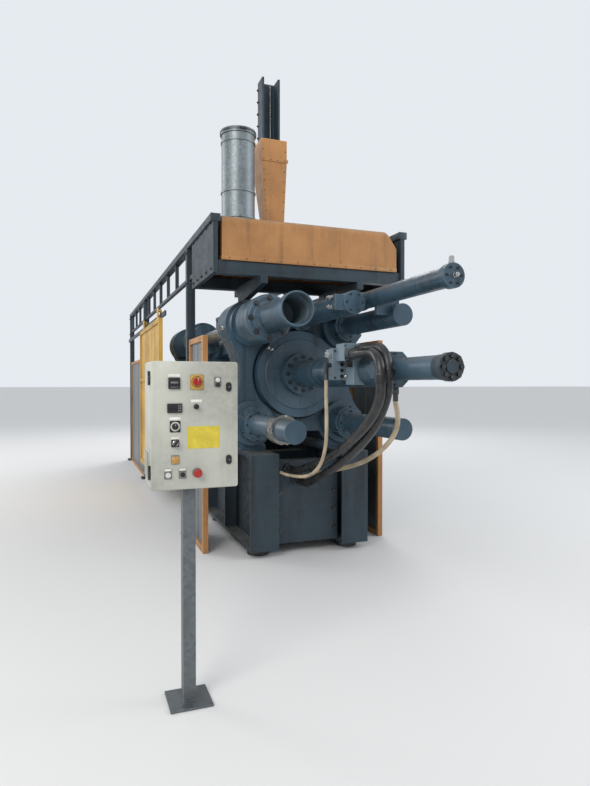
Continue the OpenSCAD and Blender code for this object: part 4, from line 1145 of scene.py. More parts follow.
print("box:", round(BOX_X1 - BOX_X0, 3), "by", round(BOX_Z1 - BOX_Z0, 3), "m")

# %% [markdown]
# ## The box's body
# Inside the body is a galvanised mounting plate on hexagon bolts. Its left side has a grille of
# upright slots, and the hinges' fixed halves are on the same side, with a pin through each. The
# grille's slots could be cut out, but black bars, painted shade where the open slots are, with
# lighter slats between them look the same from outside and keep the pan whole. Slots and slats
# are two rows of ribs, about half a step apart.

# %% box body
SLOTS, SLOT_STEP, SLOT_Z = 5, 0.0255, BOX_Z0 + 0.111
bm = bmesh.new()
pan(bm, REAR, RIM_Y, 0.006)
rounded(bm, (BOX_X0 + 0.03, REAR - 0.014, BOX_Z0 + 0.03),
        (BOX_X1 - 0.03, REAR - 0.003, BOX_Z1 - 0.03), 0.001, 1)
rounded(bm, (BOX_X0 - 0.004, -4.765, BOX_Z0 + 0.038),
        (BOX_X0 + 0.001, -4.615, BOX_Z0 + 0.184), 0.002)
# black bars: painted shade of the open slots
ribs(bm, SLOTS, (BOX_X0 - 0.0038, -4.738, SLOT_Z), (0, SLOT_STEP, 0), (0.0035, 0.012, 0.118), 2)
ribs(bm, SLOTS, (BOX_X0 - 0.0048, -4.7262, SLOT_Z), (0, SLOT_STEP, 0), (0.0056, 0.0095, 0.122))
for z in HINGES:
    pin = Matrix.Translation((HINGE_X, HINGE_Y, z))
    for low, h in ((-0.03, 0.0195), (0.0105, 0.02)):
        lathe(bm, [(0, low), (0.0048, low), (0.005, low + 0.001), (0.005, low + h), (0, low + h)],
              pin, 20, 3)
        rounded(bm, (HINGE_X, -4.793, z + low), (BOX_X0 + 0.001, -4.776, z + low + h), 0.001, 3)
    lathe(bm, [(0.0025, -0.03), (0.0025, 0.03), (0, 0.03)], pin, 12, 3)
    lathe(bm, [(0, 0.03), (0.0062, 0.03), (0.0062, 0.033), (0, 0.035)], pin, 16, 3)
for z in (BOX_Z0 + 0.05, BOX_Z1 - 0.05):
    row(bm, 4, (BOX_X0 + 0.05, REAR - 0.014, z), (0.1, 0, 0), size=0.012, head="hex", mat=3)
shell = finish_mesh("control_box_shell", bm, ["box", "zinc", "black", "bolt"])
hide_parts("control_box")
print("grille slots:", SLOTS)

# %% [markdown]
# ## The box's door
# The door turns on the two pins at its left, so its halves of the hinges share the pins' axis.
# Round its inner edge runs a black rubber seal that presses on the body. The seal is a loft of four
# rounded outlines, without caps, because it is a ring. The door rides on its own body, which turns
# about the hinge, and everything mounted on it will ride on the same one.

# %% box door
bm = bmesh.new()
pan(bm, FACE, FACE + 0.02, 0.005)
for z in HINGES:
    lathe(bm, [(0.0026, -0.0098), (0.005, -0.0098), (0.005, 0.0098), (0.0026, 0.0098)],
          Matrix.Translation((HINGE_X, HINGE_Y, z)), 20, 1)
    rounded(bm, (-1.6468, -4.807, z - 0.0095), (BOX_X0 + 0.001, -4.799, z + 0.0095), 0.001, 1)
section = ((0.006, 0.012), (0.007, 0.0195), (0.013, 0.0195), (0.014, 0.012))
loft(bm, [outline(inset, FACE + deep, 0.008) for inset, deep in section], 2, capped=False)
door = finish_mesh("control_box_door", bm, ["box", "bolt", "black"], "box_door")
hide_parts("control_door")
print("door opens about x", HINGE_X, "y", HINGE_Y)

# %% [markdown]
# ## Plates and knobs
# Everything on the door is either a flat plate or something round. Two helpers place both by the
# spot (x, z) on the door where they sit, in metres, so that the photograph's layout can be typed
# in as it is read. Their heights are measured from the door's face. The names after them are the
# numbers of the material slots of the one piece that all instruments become.

# %% plate and knob helpers
def knob(bm, x, z, profile, mat, n=36, wave=None):
    """Something round on the door; its profile is (radius, height over the face)."""
    lathe(bm, profile, toward(CLOSING, (x, FACE, z)), n, mat, wave)


def plate(bm, x, z, w, h, t, mat, r):
    """A flat plate w wide, h high and t thick, its corners rounded by r."""
    rounded(bm, (x - w / 2, FACE - t, z - h / 2), (x + w / 2, FACE + 0.0005, z + h / 2), r, mat)


def waves(count, depth):
    """Finger grooves round a knob, for the lathe."""
    return lambda t: depth * cos(2 * pi * count * t)


BLACK, GLASS, WHITE, STEEL, YELLOW, AMBER, LABEL, NOTE, GREY = range(9)
print("slots on the door:", GREY + 1)

# %% [markdown]
# ## Two displays
# At the top left is a square counter with a glass window and four keys, and under it a wider
# controller with a window and six keys. Both stand out of the door by a centimetre. Windows could
# be cut with a boolean, but a thinner dark plate in front of the frame by a millimetre gives the
# same edge and reflection.

# %% displays
COUNTER, CONTROLLER = (-1.534, 1.507), (-1.532, 1.393)
bm = bmesh.new()
x, z = COUNTER
plate(bm, x, z, 0.054, 0.052, 0.010, BLACK, 0.003)
plate(bm, x, z + 0.003, 0.042, 0.030, 0.0112, GLASS, 0.001)
plate(bm, x, z + 0.003, 0.034, 0.009, 0.0118, GREY, 0.0008)
for k in range(4):
    plate(bm, x - 0.0135 + 0.009 * k, z - 0.018, 0.006, 0.005, 0.0118, GREY, 0.0008)
plate(bm, x, z + 0.034, 0.052, 0.014, 0.0012, LABEL, 0.0005)
x, z = CONTROLLER
plate(bm, x, z, 0.068, 0.043, 0.009, BLACK, 0.003)
plate(bm, x - 0.009, z, 0.040, 0.030, 0.0102, GLASS, 0.001)
for k in range(6):
    key_x, key_z = x + 0.018 + 0.008 * (k % 2), z + 0.011 - 0.011 * (k // 2)
    plate(bm, key_x, key_z, 0.0055, 0.007, 0.0108, GREY, 0.0008)
print("display keys:", 4 + 6)

# %% [markdown]
# ## The dial
# Under them is a rotary dial: a fluted knob over a pale scale with eleven marks, thirty degrees
# apart. The flutes come from a wave on the lathe's radius, twelve to a turn, instead of twelve
# cuts. The marks are tiny boxes whose places come from the sine and cosine of their angle.

# %% dial
MARKS = 11
x, z = DIAL = (-1.530, 1.309)
plate(bm, x, z, 0.048, 0.052, 0.004, BLACK, 0.003)
knob(bm, x, z, [(0.0215, 0.004), (0.0215, 0.0052), (0.0150, 0.0052), (0.0150, 0.0045)], WHITE)
half = Vector((0.0006, 0.0006, 0.0006))
for k in range(MARKS):
    t = radians(240 - 30 * k)
    at = Vector((x + 0.0182 * cos(t), FACE - 0.0056, z + 0.0182 * sin(t)))
    rounded(bm, at - half, at + half, 0.0002, BLACK, 1)
knob(bm, x, z, [(0.0125, 0.004), (0.0120, 0.016), (0.0105, 0.018), (0, 0.018)], BLACK,
     wave=waves(12, 0.03))
plate(bm, x, z + 0.007, 0.0018, 0.009, 0.0186, WHITE, 0.0003)
plate(bm, x, z + 0.036, 0.050, 0.013, 0.0012, LABEL, 0.0005)
print("dial marks:", MARKS)

# %% [markdown]
# ## Selector, lamp and push buttons
# Below are a black selector that is turned a little, an amber lamp on a yellow plate, and a white
# and a black push button side by side. Every one has a bright collar of the same kind, as they
# come from one family of fittings for a 22 mm hole, so each is one turned collar with a cap of its
# own in it.

# %% selector, lamp and buttons
x, z = SELECTOR = (-1.530, 1.232)
plate(bm, x, z, 0.036, 0.034, 0.006, BLACK, 0.003)
knob(bm, x, z, [(0.0135, 0.006), (0.0135, 0.010), (0.011, 0.012), (0, 0.012)], STEEL)
turned = Matrix.Translation((x, FACE - 0.008, z)) @ Matrix.Rotation(radians(35), 4, "Y")
rounded(bm, (-0.005, -0.022, -0.016), (0.005, 0.0, 0.016), 0.002, BLACK, 2, turned)
plate(bm, x, z + 0.023, 0.036, 0.010, 0.0012, LABEL, 0.0005)
x, z = LAMP = (-1.530, 1.157)
plate(bm, x, z, 0.037, 0.042, 0.0035, GREY, 0.002)
plate(bm, x, z - 0.002, 0.033, 0.034, 0.0042, YELLOW, 0.0015)
knob(bm, x, z - 0.002, [(0.0145, 0.0035), (0.0145, 0.008), (0.0125, 0.0085), (0.0125, 0.0075)],
     STEEL)
knob(bm, x, z - 0.002, [(0.0122, 0.006), (0.0120, 0.013), (0.009, 0.0155), (0, 0.0165)], AMBER)
BUTTONS = (-1.563, 1.093), (-1.497, 1.093)
for (x, z), cap in zip(BUTTONS, (WHITE, BLACK)):
    plate(bm, x, z, 0.034, 0.047, 0.0035, GREY, 0.002)
    plate(bm, x, z + 0.018, 0.030, 0.009, 0.0042, LABEL, 0.0005)
    knob(bm, x, z - 0.005, [(0.0140, 0.0035), (0.0140, 0.008), (0.0122, 0.0085), (0.0122, 0.0075)],
         STEEL)
    knob(bm, x, z - 0.005, [(0.0118, 0.006), (0.0118, 0.0112), (0.0108, 0.012), (0, 0.0118)], cap)
print("collars:", 2 + len(BUTTONS))

# %% [markdown]
# ## Switch plate, second knob and latches
# The main switch sits on a yellow plate with a dark ring, with a fluted knob under it. To the
# right are a white and a black cap on one plate, and two latches at the door's edge with a
# three-sided key hole. The latch bodies are short lofts of one rounded outline, so that their ends
# are round.

# %% switch plate and latches
SWITCH_X, SWITCH_Z = -1.429, 1.514
plate(bm, SWITCH_X, SWITCH_Z - 0.002, 0.062, 0.069, 0.003, YELLOW, 0.004)
knob(bm, SWITCH_X, SWITCH_Z, [(0.026, 0.003), (0.026, 0.0034), (0.0235, 0.0034), (0.0235, 0.003)],
     BLACK, 48)
x, z = SMALL_KNOB = (-1.432, 1.399)
plate(bm, x, z + 0.026, 0.050, 0.013, 0.0012, LABEL, 0.0005)
knob(bm, x, z, [(0.0125, 0), (0.0125, 0.004), (0.0105, 0.005), (0.0095, 0.018), (0.008, 0.020),
                (0, 0.020)], BLACK, wave=waves(12, 0.025))
x, z = TWO_CAPS = (-1.332, 1.512)
plate(bm, x, z + 0.002, 0.033, 0.047, 0.0035, GREY, 0.002)
knob(bm, x, z + 0.010, [(0.0105, 0.0035), (0.0105, 0.009), (0.008, 0.012), (0, 0.0135)], WHITE)
knob(bm, x, z - 0.012, [(0.0105, 0.0035), (0.0105, 0.009), (0.009, 0.010), (0, 0.010)], BLACK)
LATCHES = (-1.279, 1.490), (-1.279, 1.148)
for x, z in LATCHES:
    loft(bm, [corner_loop(x - 0.013, x + 0.013, z - 0.022, z + 0.022, 0.0125, FACE - deep)
              for deep in (0, 0.004, 0.0055)], BLACK)
    knob(bm, x, z, [(0.0095, 0.005), (0.0095, 0.011), (0.0085, 0.012), (0.004, 0.012)], BLACK)
    knob(bm, x, z, [(0.004, 0.012), (0.0035, 0.008), (0, 0.008)], STEEL, 3)
print("latches:", len(LATCHES))

# %% [markdown]
# ## Behind the door
# An instrument goes on through the door: behind each is its contact block with two terminal
# screws, which shows as soon as the door is opened. They could be left out in a picture of the
# closed box, but a reader who opens the door would see an empty sheet. The stop button's block
# stands back on two lugs, because its stem moves in between. A yellow note hangs on the outside,
# as thin as paper.

# %% contact blocks and note
INNER = FACE + 0.002  # the door sheet's inner side
contact_blocks = (
    # spot, width, height, depth, material
    (COUNTER, 0.045, 0.045, 0.055, BLACK), (CONTROLLER, 0.060, 0.038, 0.045, BLACK),
    (DIAL, 0.030, 0.030, 0.030, GREY), (SELECTOR, 0.028, 0.038, 0.045, BLACK),
    (LAMP, 0.028, 0.038, 0.045, GREY), (BUTTONS[0], 0.028, 0.038, 0.045, BLACK),
    (BUTTONS[1], 0.028, 0.038, 0.045, BLACK), (SMALL_KNOB, 0.024, 0.024, 0.026, GREY),
    ((SWITCH_X, SWITCH_Z - 0.002), 0.055, 0.060, 0.060, BLACK),
    (TWO_CAPS, 0.028, 0.045, 0.045, BLACK))
for (x, z), w, h, deep, mat in contact_blocks:
    rounded(bm, (x - w / 2, INNER - 0.001, z - h / 2), (x + w / 2, INNER + deep, z + h / 2),
            0.003, mat)
    row(bm, 2, (x - 0.008, INNER + deep, z), (0.016, 0, 0), SHOT, 0.006, "dome", STEEL)

STOP_X, STOP_Z = -1.429, 1.093
rounded(bm, (STOP_X - 0.014, FACE + 0.010, STOP_Z - 0.019),
        (STOP_X + 0.014, FACE + 0.050, STOP_Z + 0.019), 0.003, BLACK)
for x in (STOP_X - 0.0135, STOP_X + 0.0085):
    rounded(bm, (x, INNER - 0.001, STOP_Z - 0.009), (x + 0.005, FACE + 0.012, STOP_Z + 0.009),
            0.001, GREY)
note = [corner_loop(-1.475, -1.322, 1.205, 1.308, 0.002, FACE - t) for t in (0.0001, 0.0007)]
loft(bm, note, NOTE)
items = finish_mesh("door_instruments", bm, ["black", "glass", "white", "chrome", "yellow", "amber",
                                             "label", "note", "grey"], "box_door")
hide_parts("door_controls")
print("contact blocks:", len(contact_blocks) + 1)

# %% [markdown]
# ## The main switch
# The red handle turns by a quarter to cut the power, and so it rides on a body of its own. It is a
# low round base with eight shallow waves for the fingers, a bar across it, and a white mark that
# shows where it points. The base is turned with a wave as the dial is, and the bar is a rounded
# box, because a real handle is moulded in one piece with soft edges.

# %% main switch
bm = bmesh.new()
base = [(0, 0.0033), (0.0195, 0.0033), (0.0198, 0.006), (0.0185, 0.016), (0.0175, 0.0173),
        (0, 0.0173)]
knob(bm, SWITCH_X, SWITCH_Z, base, 0, 40, waves(8, 0.012))
rounded(bm, (SWITCH_X - 0.006, FACE - 0.0353, SWITCH_Z - 0.019),
        (SWITCH_X + 0.006, FACE - 0.016, SWITCH_Z + 0.019), 0.0035, 0, 3)
rounded(bm, (SWITCH_X - 0.0012, FACE - 0.0357, SWITCH_Z + 0.006),
        (SWITCH_X + 0.0012, FACE - 0.034, SWITCH_Z + 0.017), 0.0005, 1)
switch = finish_mesh("main_switch_handle", bm, ["red", "white"], "switch")
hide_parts("main_switch")
print("switch turns about x", SWITCH_X, "z", SWITCH_Z)

# %% [markdown]
# ## The stop button
# The red mushroom is pressed in by four millimetres and stops the machine. It moves, while the
# grey collar that guides it stays on the door, so they are two pieces on two bodies. Both are
# turned: the mushroom's profile goes from its stem under the cap, round the wide rim and over the
# flat crown, and the collar's bore leaves the stem a little over half a millimetre of room all
# round.

# %% stop button
STEM, BORE = 0.0068, 0.0074
mushroom = [(0, -0.003), (STEM, -0.003), (STEM, 0.019), (0.0165, 0.020), (0.0195, 0.0225),
            (0.0200, 0.026), (0.0192, 0.030), (0.0165, 0.0328), (0.0100, 0.0338), (0, 0.0340)]
collar = [(BORE, 0), (0.0225, 0), (0.0225, 0.002), (0.0165, 0.003), (0.0160, 0.010), (BORE, 0.010)]

bm = bmesh.new()
knob(bm, STOP_X, STOP_Z, mushroom, 0, 44)
stop = finish_mesh("stop_mushroom", bm, ["red"], "stop")
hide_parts("stop_button")
bm = bmesh.new()
knob(bm, STOP_X, STOP_Z, collar, 0, 44)
finish_mesh("stop_collar", bm, ["grey"], "box_door")
print("room round the stem:", round(1000 * (BORE - STEM), 1), "mm")

# %% [markdown]
# ## Feet, gussets and bolts of the railing
# Three posts carry a rail on each side. Each stands on a foot plate with four anchor bolts, and a
# small gusset stiffens it under the rail. A gusset is a flat plate with one slanting edge, so it
# is a loft between two equal outlines six millimetres apart. Plates that close the rails' open
# ends are added too, since an open tube end would show that the rail has no inside.

# %% railing feet
RAIL_X, RAIL_LOW = 0.875, 2.838
bm = bmesh.new()
posts = [(side, y) for side in (-1, 1) for y in (-1.66, 2.16, 4.64)]
web = [(0.04, 0), (0.16, 0), (0.16, -0.02), (0.06, -0.12), (0.04, -0.12)]
for side, y in posts:
    x = side * RAIL_X
    rounded(bm, (x - 0.09, y - 0.09, 0), (x + 0.09, y + 0.09, 0.014), 0.002)
    for dx in (-0.065, 0.065):
        row(bm, 2, (x + dx, y - 0.065, 0.014), (0, 0.13, 0), UP, 0.024, "hex", 1)
    for z in (2.50, 2.80):
        row(bm, 2, (x + side * 0.0405, y - 0.02, z), (0, 0.04, 0), (side, 0, 0), 0.016, "hex", 1)
    loft(bm, [[(face, y + along, RAIL_LOW + up) for along, up in web]
              for face in (x, x - side * 0.006)])
for side in (-1, 1):
    x = side * RAIL_X
    for y in (4.700, -2.779):
        rounded(bm, (x - 0.042, y, RAIL_LOW), (x + 0.042, y + 0.004, RAIL_LOW + 0.064), 0.001)
    for z in (2.46, 2.84):
        row(bm, 5, (side * 0.8955, -2.70, z), (0, 0.19, 0), (side, 0, 0), 0.018, "hex", 1)
finish_mesh("railing_feet_and_bolts", bm, ["bed", "bolt"])
print("posts:", len(posts), "anchor bolts:", 4 * len(posts))

# %% [markdown]
# ## Screws and ribs of the guards
# Each guard is an orange frame with sheet in it. Screws hold the sheet all round, and ribs are
# pressed into the sheet every 0.6 m or so to keep it from drumming. The number of screws and ribs
# is worked out from each guard's size, so that a wide guard gets more of them at the same spacing.

# %% guard screws and ribs
guards = [  # side, start, end and height
    (-1, -2.36, -1.70, 1.94), (-1, 2.20, 4.60, 1.94), (1, -2.36, -1.70, 1.94),
    (1, -1.62, 2.12, 2.34), (1, 2.20, 4.60, 1.94)]
bm = bmesh.new()
for side, start_y, end_y, high in guards:
    face = side * (RAIL_X + 0.0255)
    outwards = (side, 0, 0)
    wide = end_y - start_y
    across, upwards = max(2, int(wide / 0.3)), int(high / 0.3)
    step_y, step_z = (wide - 0.2) / (across - 1), (high - 0.24) / (upwards - 1)
    for z in (0.025, high - 0.025):
        row(bm, across, (face, start_y + 0.1, z), (0, step_y, 0), outwards, 0.013)
    for y in (start_y + 0.025, end_y - 0.025):
        row(bm, upwards, (face, y, 0.12), (0, 0, step_z), outwards, 0.013)
    count = max(1, int(wide / 0.6))
    pitch = wide / count
    ribs(bm, count, (side * RAIL_X, start_y + pitch / 2, high / 2), (0, pitch, 0),
         (0.012, 0.03, high - 0.12), 1)
finish_mesh("guard_screws_and_ribs", bm, ["bolt", "zinc"])
print("guards:", len(guards))

# %% [markdown]
# ## The sliding door
# The yellow door runs on two grooved wheels along the rail. Its sheet has upright ribs, rows of
# screws along its cross bars, and a black pull handle. The wheels are turned with a groove between
# two flanges, and the handle is a tube swept along a path that leaves the door, runs upright and
# goes back. All of it rides on the door's body, so it slides with it.

# %% sliding door
DOOR_X, WHEEL_Z = -0.97, 2.4303
soften("guard_door", "yellow", SHEET_EDGE, "sliding_door")

bm = bmesh.new()
for z, high in ((0.955, 1.07), (1.935, 0.55)):
    ribs(bm, 6, (DOOR_X, -0.2 + 2.2 / 12, z), (0, 2.2 / 6, 0), (0.011, 0.024, high))
for z in (0.325, 1.575, 2.295):
    row(bm, 14, (DOOR_X - 0.0255, -0.1, z), (0, 0.154, 0), LEFT, 0.012, mat=1)
axle_cap = [(0, 0), (0.012, 0), (0.012, 0.006), (0, 0.009)]
wheel = [(0.0295, 0), (0.0300, 0.002), (0.0300, 0.005), (0.026, 0.006), (0.026, 0.012),
         (0.0300, 0.013), (0.0300, 0.016), (0.0295, 0.018)]
for y in (0.1, 1.7):
    row(bm, 2, (DOOR_X - 0.003, y - 0.03, 2.30), (0, 0.06, 0), LEFT, 0.02, "hex", 1)
    lathe(bm, axle_cap, toward(RIGHT, (DOOR_X + 0.049, y, WHEEL_Z)), 6, 1)
    lathe(bm, wheel, toward(RIGHT, (DOOR_X + 0.031, y, WHEEL_Z)), 40, 1)
grip_y, grip_low, grip_high = -0.172, 1.055, 1.345
grip = [(DOOR_X - 0.052, grip_y, grip_low + (grip_high - grip_low) * k / 8) for k in range(9)]
grip = [(DOOR_X - 0.020, grip_y, grip_low)] + grip + [(DOOR_X - 0.020, grip_y, grip_high)]
sweep(bm, smooth_route(grip), 0.0085, 14, 2)
finish_mesh("sliding_door_trim", bm, ["yellow", "bolt", "black"], "sliding_door")
print("door ribs:", 2 * 6, "wheels:", 2)

# %% [markdown]
# ## Bolts of the bed
# Levelling feet carry the bed, each with two lock nuts on threaded studs, and large bolts hold the
# platens' shoes and the rear plate down. Bolts of this size, 30 to 36 mm across, are what tells an
# eye how big the machine is, so their size matters more than that of any smaller screw.

# %% bed bolts
BEAM_X = 0.43
bm = bmesh.new()
feet = [(x, y) for y in (-2.5, -1.1, 0.3, 1.7, 3.1, 4.4) for x in (-BEAM_X, BEAM_X)]
for x, y in feet:
    for dx in (-0.08, 0.08):
        stud = Matrix.Translation((x + dx, y, 0.030))
        hexagon(bm, stud, 0.032, 0.018)
        lathe(bm, [(0.010, 0), (0.010, 0.026), (0, 0.026)], stud, 12)
for x in (-BEAM_X, BEAM_X):
    for y in (-2.19, -2.05, -0.27, -0.15, 0.80, 0.93):
        for dx in (-0.1, 0.1):
            ring(bm, 1, 0.0, (x + dx, y, 0.9005), UP, 0.036, "hex")
for x in (-0.26, 0.26):
    row(bm, 4, (x, -2.6, 0.2), (0, 0, 0.17), size=0.03, head="hex")
finish_mesh("bed_bolts", bm, ["bolt"])
print("feet with lock nuts:", len(feet))

# %% [markdown]
# ## Pin plates of the toggle
# The toggle is the machine's muscle: pairs of links that straighten and lock the mould with
# hundreds of tonnes. Each link turns on a thick pin, which a round plate with four bolts keeps in
# place, and a grease nipple sits in its middle. Plate and nipple are turned, and as all twelve
# pins are alike, they are placed by two signs and three stations instead of twelve typed places.

# %% toggle pin plates
PIN_X, PIN_DZ = 0.3453, 0.33  # a pin's outer end, and its height over or under the axis
REAR_PIN, FRONT_PIN = -1.85, -0.55
pin_plate = [(0.052, 0), (0.052, 0.008), (0.050, 0.010), (0, 0.010)]
grease_nipple = [(0.006, 0.010), (0.006, 0.016), (0.003, 0.020), (0.004, 0.024), (0, 0.026)]

bm = bmesh.new()
pins = [(side, up, y) for side in (-1, 1) for up in (-1, 1)
        for y in (REAR_PIN, FRONT_PIN, (REAR_PIN + FRONT_PIN) / 2)]
for side, up, y in pins:
    x, z, outwards = side * PIN_X, AXIS + up * PIN_DZ, (side, 0, 0)
    lathe(bm, pin_plate, toward(outwards, (x, y, z)), 40, 1)
    ring(bm, 4, 0.036, (x + side * 0.010, y, z), outwards, 0.016, "hex")
    lathe(bm, grease_nipple, toward(outwards, (x, y, z)), 12, 2)
for side in (-1, 1):
    for up in (-1, 1):
        for y in (-1.52, -0.88):
            at = (side * 0.25, y, AXIS + up * (PIN_DZ + 0.07))
            hexagon(bm, toward((0, 0, up), at), 0.03, 0.014)
for x in (-0.17, 0.17):
    row(bm, 3, (x, -1.5, 1.53), (0, 0, 0.07), size=0.026, head="cap")
gland = [(0.085, 0), (0.085, 0.03), (0.082, 0.034), (0.057, 0.034), (0.057, 0)]
lathe(bm, gland, toward(CLOSING, (0, -1.498, AXIS)), mat=1)
finish_mesh("toggle_pin_plates", bm, ["bolt", "machine", "chrome"])
print("pins with plates:", len(pins))

# %% [markdown]
# ## Screws and bottles of the shot end
# At the far end a cylinder drives the plunger that shoots the metal, and three gas bottles give it
# its sudden force. The cylinder's flanges have their circles of screws, the tie bars end in
# threads, and the bottles are held by bands and closed by a valve. The thread is only five shallow
# steps, as a real helix would cost more faces than the whole nut.

# %% shot end screws
SHOT_Z = AXIS - 0.18  # height of the shot cylinder
BOTTLE_X, BOTTLE_FOOT = 0.43, 0.9
bm = bmesh.new()
ring(bm, 12, 0.15, (0, 2.62, SHOT_Z), SHOT, 0.028)
ring(bm, 8, 0.098, (0, 4.411, SHOT_Z), SHOT, 0.02)
ring(bm, 8, 0.07, (0, 4.77, SHOT_Z), SHOT, 0.018)
ring(bm, 12, 0.30, (0, 2.38, SHOT_Z), CLOSING, 0.034, "hex")
ring(bm, 6, 0.048, (0, 2.18, SHOT_Z), CLOSING, 0.016)
ring(bm, 8, 0.095, (0, -0.86, AXIS), CLOSING, 0.02)
thread = [(0.0715, 0), (0.0715, 0.002)]
thread += [(0.0702 + 0.0013 * (k % 2), 0.003 + 0.003 * k) for k in range(5)]
for x, z in BARS:
    lathe(bm, thread, toward(SHOT, (x, 1.22, z)), 36, 1)

bottles, band_heights = (2.9, 3.18, 3.46), (0.35, 1.05)
valve = [(0.045, 1.45), (0.045, 1.47), (0.03, 1.475), (0.03, 1.50), (0.018, 1.505), (0.018, 1.53),
         (0, 1.532)]
for y in bottles:
    foot = Matrix.Translation((BOTTLE_X, y, BOTTLE_FOOT))
    for h in band_heights:
        lathe(bm, [(0.1155, h), (0.1185, h + 0.002), (0.1185, h + 0.038), (0.1155, h + 0.04)], foot)
    lathe(bm, valve, foot, 24, 1)
    hexagon(bm, foot @ Matrix.Translation((0, 0, 1.475)), 0.05, 0.02)
for h in band_heights:
    z = BOTTLE_FOOT + h
    rounded(bm, (BOTTLE_X - 0.135, 2.86, z + 0.004), (BOTTLE_X - 0.118, 3.50, z + 0.036), 0.002)
finish_mesh("shot_end_screws", bm, ["bolt", "chrome"])
print("bottles:", len(bottles), "bands:", len(bottles) * len(band_heights))

# %% [markdown]
# ## The pump motor
# A finned electric motor drives the pump. Thirty-six fins stand round its barrel and carry the
# heat away, a dished cover with ring slots guards the fan, and a terminal box sits on top. The
# slots are black rings on the cover, painted shade where the cover is open. The fins are the third
# of the node groups: a circle of points, each with one long rib that is turned by its own share of
# the full circle, which is less work and less code than thirty-six boxes.

# %% pump motor
MOTOR_Z, FINS = 1.01, 36
fan_cover = [(0.150, 0), (0.158, 0.01), (0.158, 0.05), (0.146, 0.062), (0.05, 0.066), (0, 0.066)]
shield = [(0.085, 0), (0.095, 0.004), (0.095, 0.03), (0.085, 0.034)]

bm = bmesh.new()
spread(bm, fins_round, "rib", (0.022, 0.006, 0.42), toward(CLOSING, (0, 3.08, MOTOR_Z)), 0,
       Count=FINS, Radius=0.156)
cover_at = toward(CLOSING, (0, 2.85, MOTOR_Z))
lathe(bm, fan_cover, cover_at)
# black rings: painted shade of the fan cover's open slots
for r in (0.04, 0.07, 0.10, 0.13):
    lathe(bm, [(r, 0.064), (r, 0.0685), (r + 0.006, 0.0685), (r + 0.006, 0.062)], cover_at, 40, 1)
rounded(bm, (-0.07, 3.0, MOTOR_Z + 0.15), (0.07, 3.16, MOTOR_Z + 0.235), 0.008, segments=3)
rounded(bm, (-0.074, 2.996, MOTOR_Z + 0.225), (0.074, 3.164, MOTOR_Z + 0.24), 0.004)
for x in (-0.06, 0.06):
    row(bm, 2, (x, 3.01, MOTOR_Z + 0.24), (0, 0.14, 0), UP, 0.010, "cap", 1)
ring(bm, 6, 0.07, (0, 3.56, MOTOR_Z), SHOT, 0.018, "hex", 1)
lathe(bm, shield, toward(SHOT, (0, 3.352, MOTOR_Z)), 40)
finish_mesh("motor_fins_and_cover", bm, ["pale", "black"])
print("motor fins:", FINS)

# %% [markdown]
# ## The oil tank's cover and gauge
# The tank has a bolted cover with a breather cap, and a long glass gauge on its end shows how much
# oil is left. The gauge is a dark glass bar in a steel frame between two bolts. Real glass would
# need light paths through it, while oil behind old glass looks black, so a glossy dark plastic is
# used.

# %% oil tank
TANK_TOP, COVER_TOP, TANK_END = 0.84, 0.852, 4.3
breather = [(0.05, 0), (0.05, 0.05), (0.058, 0.05), (0.060, 0.054), (0.060, 0.085), (0.055, 0.092),
            (0, 0.094)]
bm = bmesh.new()
rounded(bm, (-0.27, 3.70, TANK_TOP), (0.27, 4.25, COVER_TOP))
for x in (-0.245, 0.245):
    row(bm, 6, (x, 3.73, COVER_TOP), (0, 0.098, 0), UP, 0.018, "hex", 1)
lathe(bm, breather, Matrix.Translation((-0.12, 4.05, COVER_TOP)), 36, 2)
rounded(bm, (-0.020, TANK_END, 0.45), (0.020, TANK_END + 0.016, 0.75), 0.004, 1)
rounded(bm, (-0.009, TANK_END + 0.012, 0.48), (0.009, TANK_END + 0.019, 0.72), 0.003, 3)
row(bm, 2, (0, TANK_END + 0.018, 0.465), (0, 0, 0.27), SHOT, 0.016, "hex", 1)
finish_mesh("tank_cover_and_gauge", bm, ["bed", "bolt", "black", "glass"])
print("cover bolts:", 2 * 6)
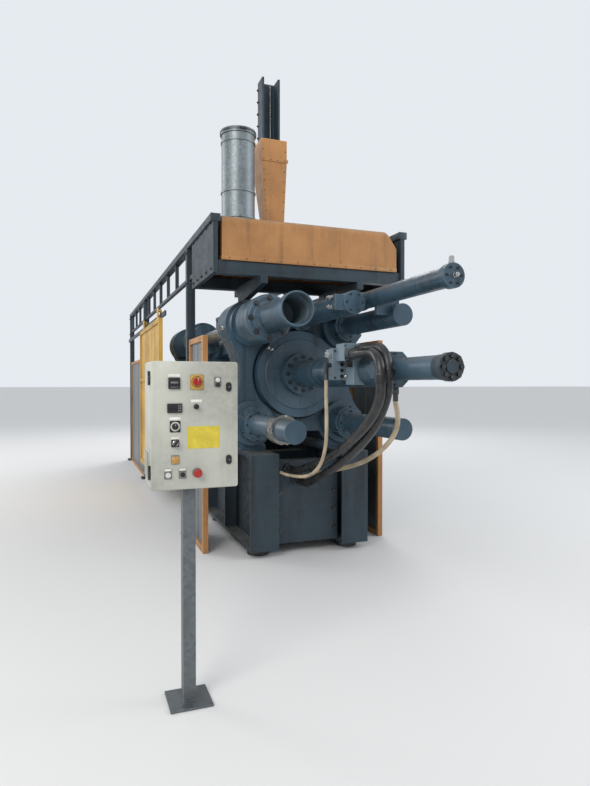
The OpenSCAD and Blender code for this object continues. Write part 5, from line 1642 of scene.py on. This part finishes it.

# %% [markdown]
# ## The floor
# A plain pale floor catches the machine's shadow and shows that it stands on it. It isn't part of
# the object, and its plane lies two millimetres low, to keep it from fighting with the feet's
# undersides for the same pixels.

# %% floor
FLOOR_SIZE = 400.0  # so far to each side that its edge lies close to the horizon
floor_bm = bmesh.new()
bmesh.ops.create_grid(floor_bm, x_segments=1, y_segments=1, size=FLOOR_SIZE)
floor_mesh = bpy.data.meshes.new("floor")
floor_bm.to_mesh(floor_mesh)
floor_bm.free()
floor_paint, _, floor_shader, _ = start("pale_floor")
floor_shader.inputs["Base Color"].default_value = (0.66, 0.65, 0.635, 1.0)
floor_shader.inputs["Roughness"].default_value = 0.75
floor_mesh.materials.append(floor_paint)
floor = bpy.data.objects.new("floor", floor_mesh)
floor.location = (0, 0, -0.002)
scene.collection.objects.link(floor)
print("floor top at", round(floor.location.z, 3))

# %% [markdown]
# ## The room and the lamps
# A soft sky of even light would be enough to see everything, but it would flatten the castings. A
# single lamp would throw hard black shadows. So a pale room gives most of the light, and four
# large round area lamps shape the forms: a warm key from the front left, a cool fill from the
# right, and two from behind that draw the top edges. Their power is set so that a colour renders
# about as it is written in the palette, and white never clips.

# %% room and lamps
world = bpy.data.worlds.new("room")
scene.world = world
world.use_nodes = True
sky = world.node_tree.nodes["Background"].inputs
sky["Color"].default_value = (0.86, 0.90, 0.95, 1.0)
sky["Strength"].default_value = 0.92


def area_light(name, at, aim, size, watts, colour):
    """A round soft lamp that looks at aim."""
    data = bpy.data.lights.new(name, "AREA")
    data.shape = "DISK"
    data.size = size
    data.energy = watts
    data.color = colour
    ob = bpy.data.objects.new(name, data)
    ob.location = at
    ob.rotation_euler = (Vector(aim) - Vector(at)).to_track_quat("-Z", "Y").to_euler()
    scene.collection.objects.link(ob)


area_light("key", (-6.5, -9.5, 6.5), (0, -3, 1.6), 5.0, 450, (1.0, 0.98, 0.95))
area_light("fill", (7.0, -6.0, 5.0), (0, -1, 1.6), 5.0, 200, (0.92, 0.96, 1.0))
area_light("back", (4.0, 10.0, 8.0), (0, 0, 2.4), 6.0, 420, (0.95, 0.98, 1.0))
area_light("left", (-9.0, 5.0, 6.0), (0, 1, 1.6), 5.0, 300, (1.0, 0.98, 0.96))
scene.view_settings.view_transform = "Standard"

# %% [markdown]
# ## The pattern heads
# The pattern heads have done their work and are removed.

# %% close
for ob in list(heads.values()) + [host]:
    bpy.data.objects.remove(ob)
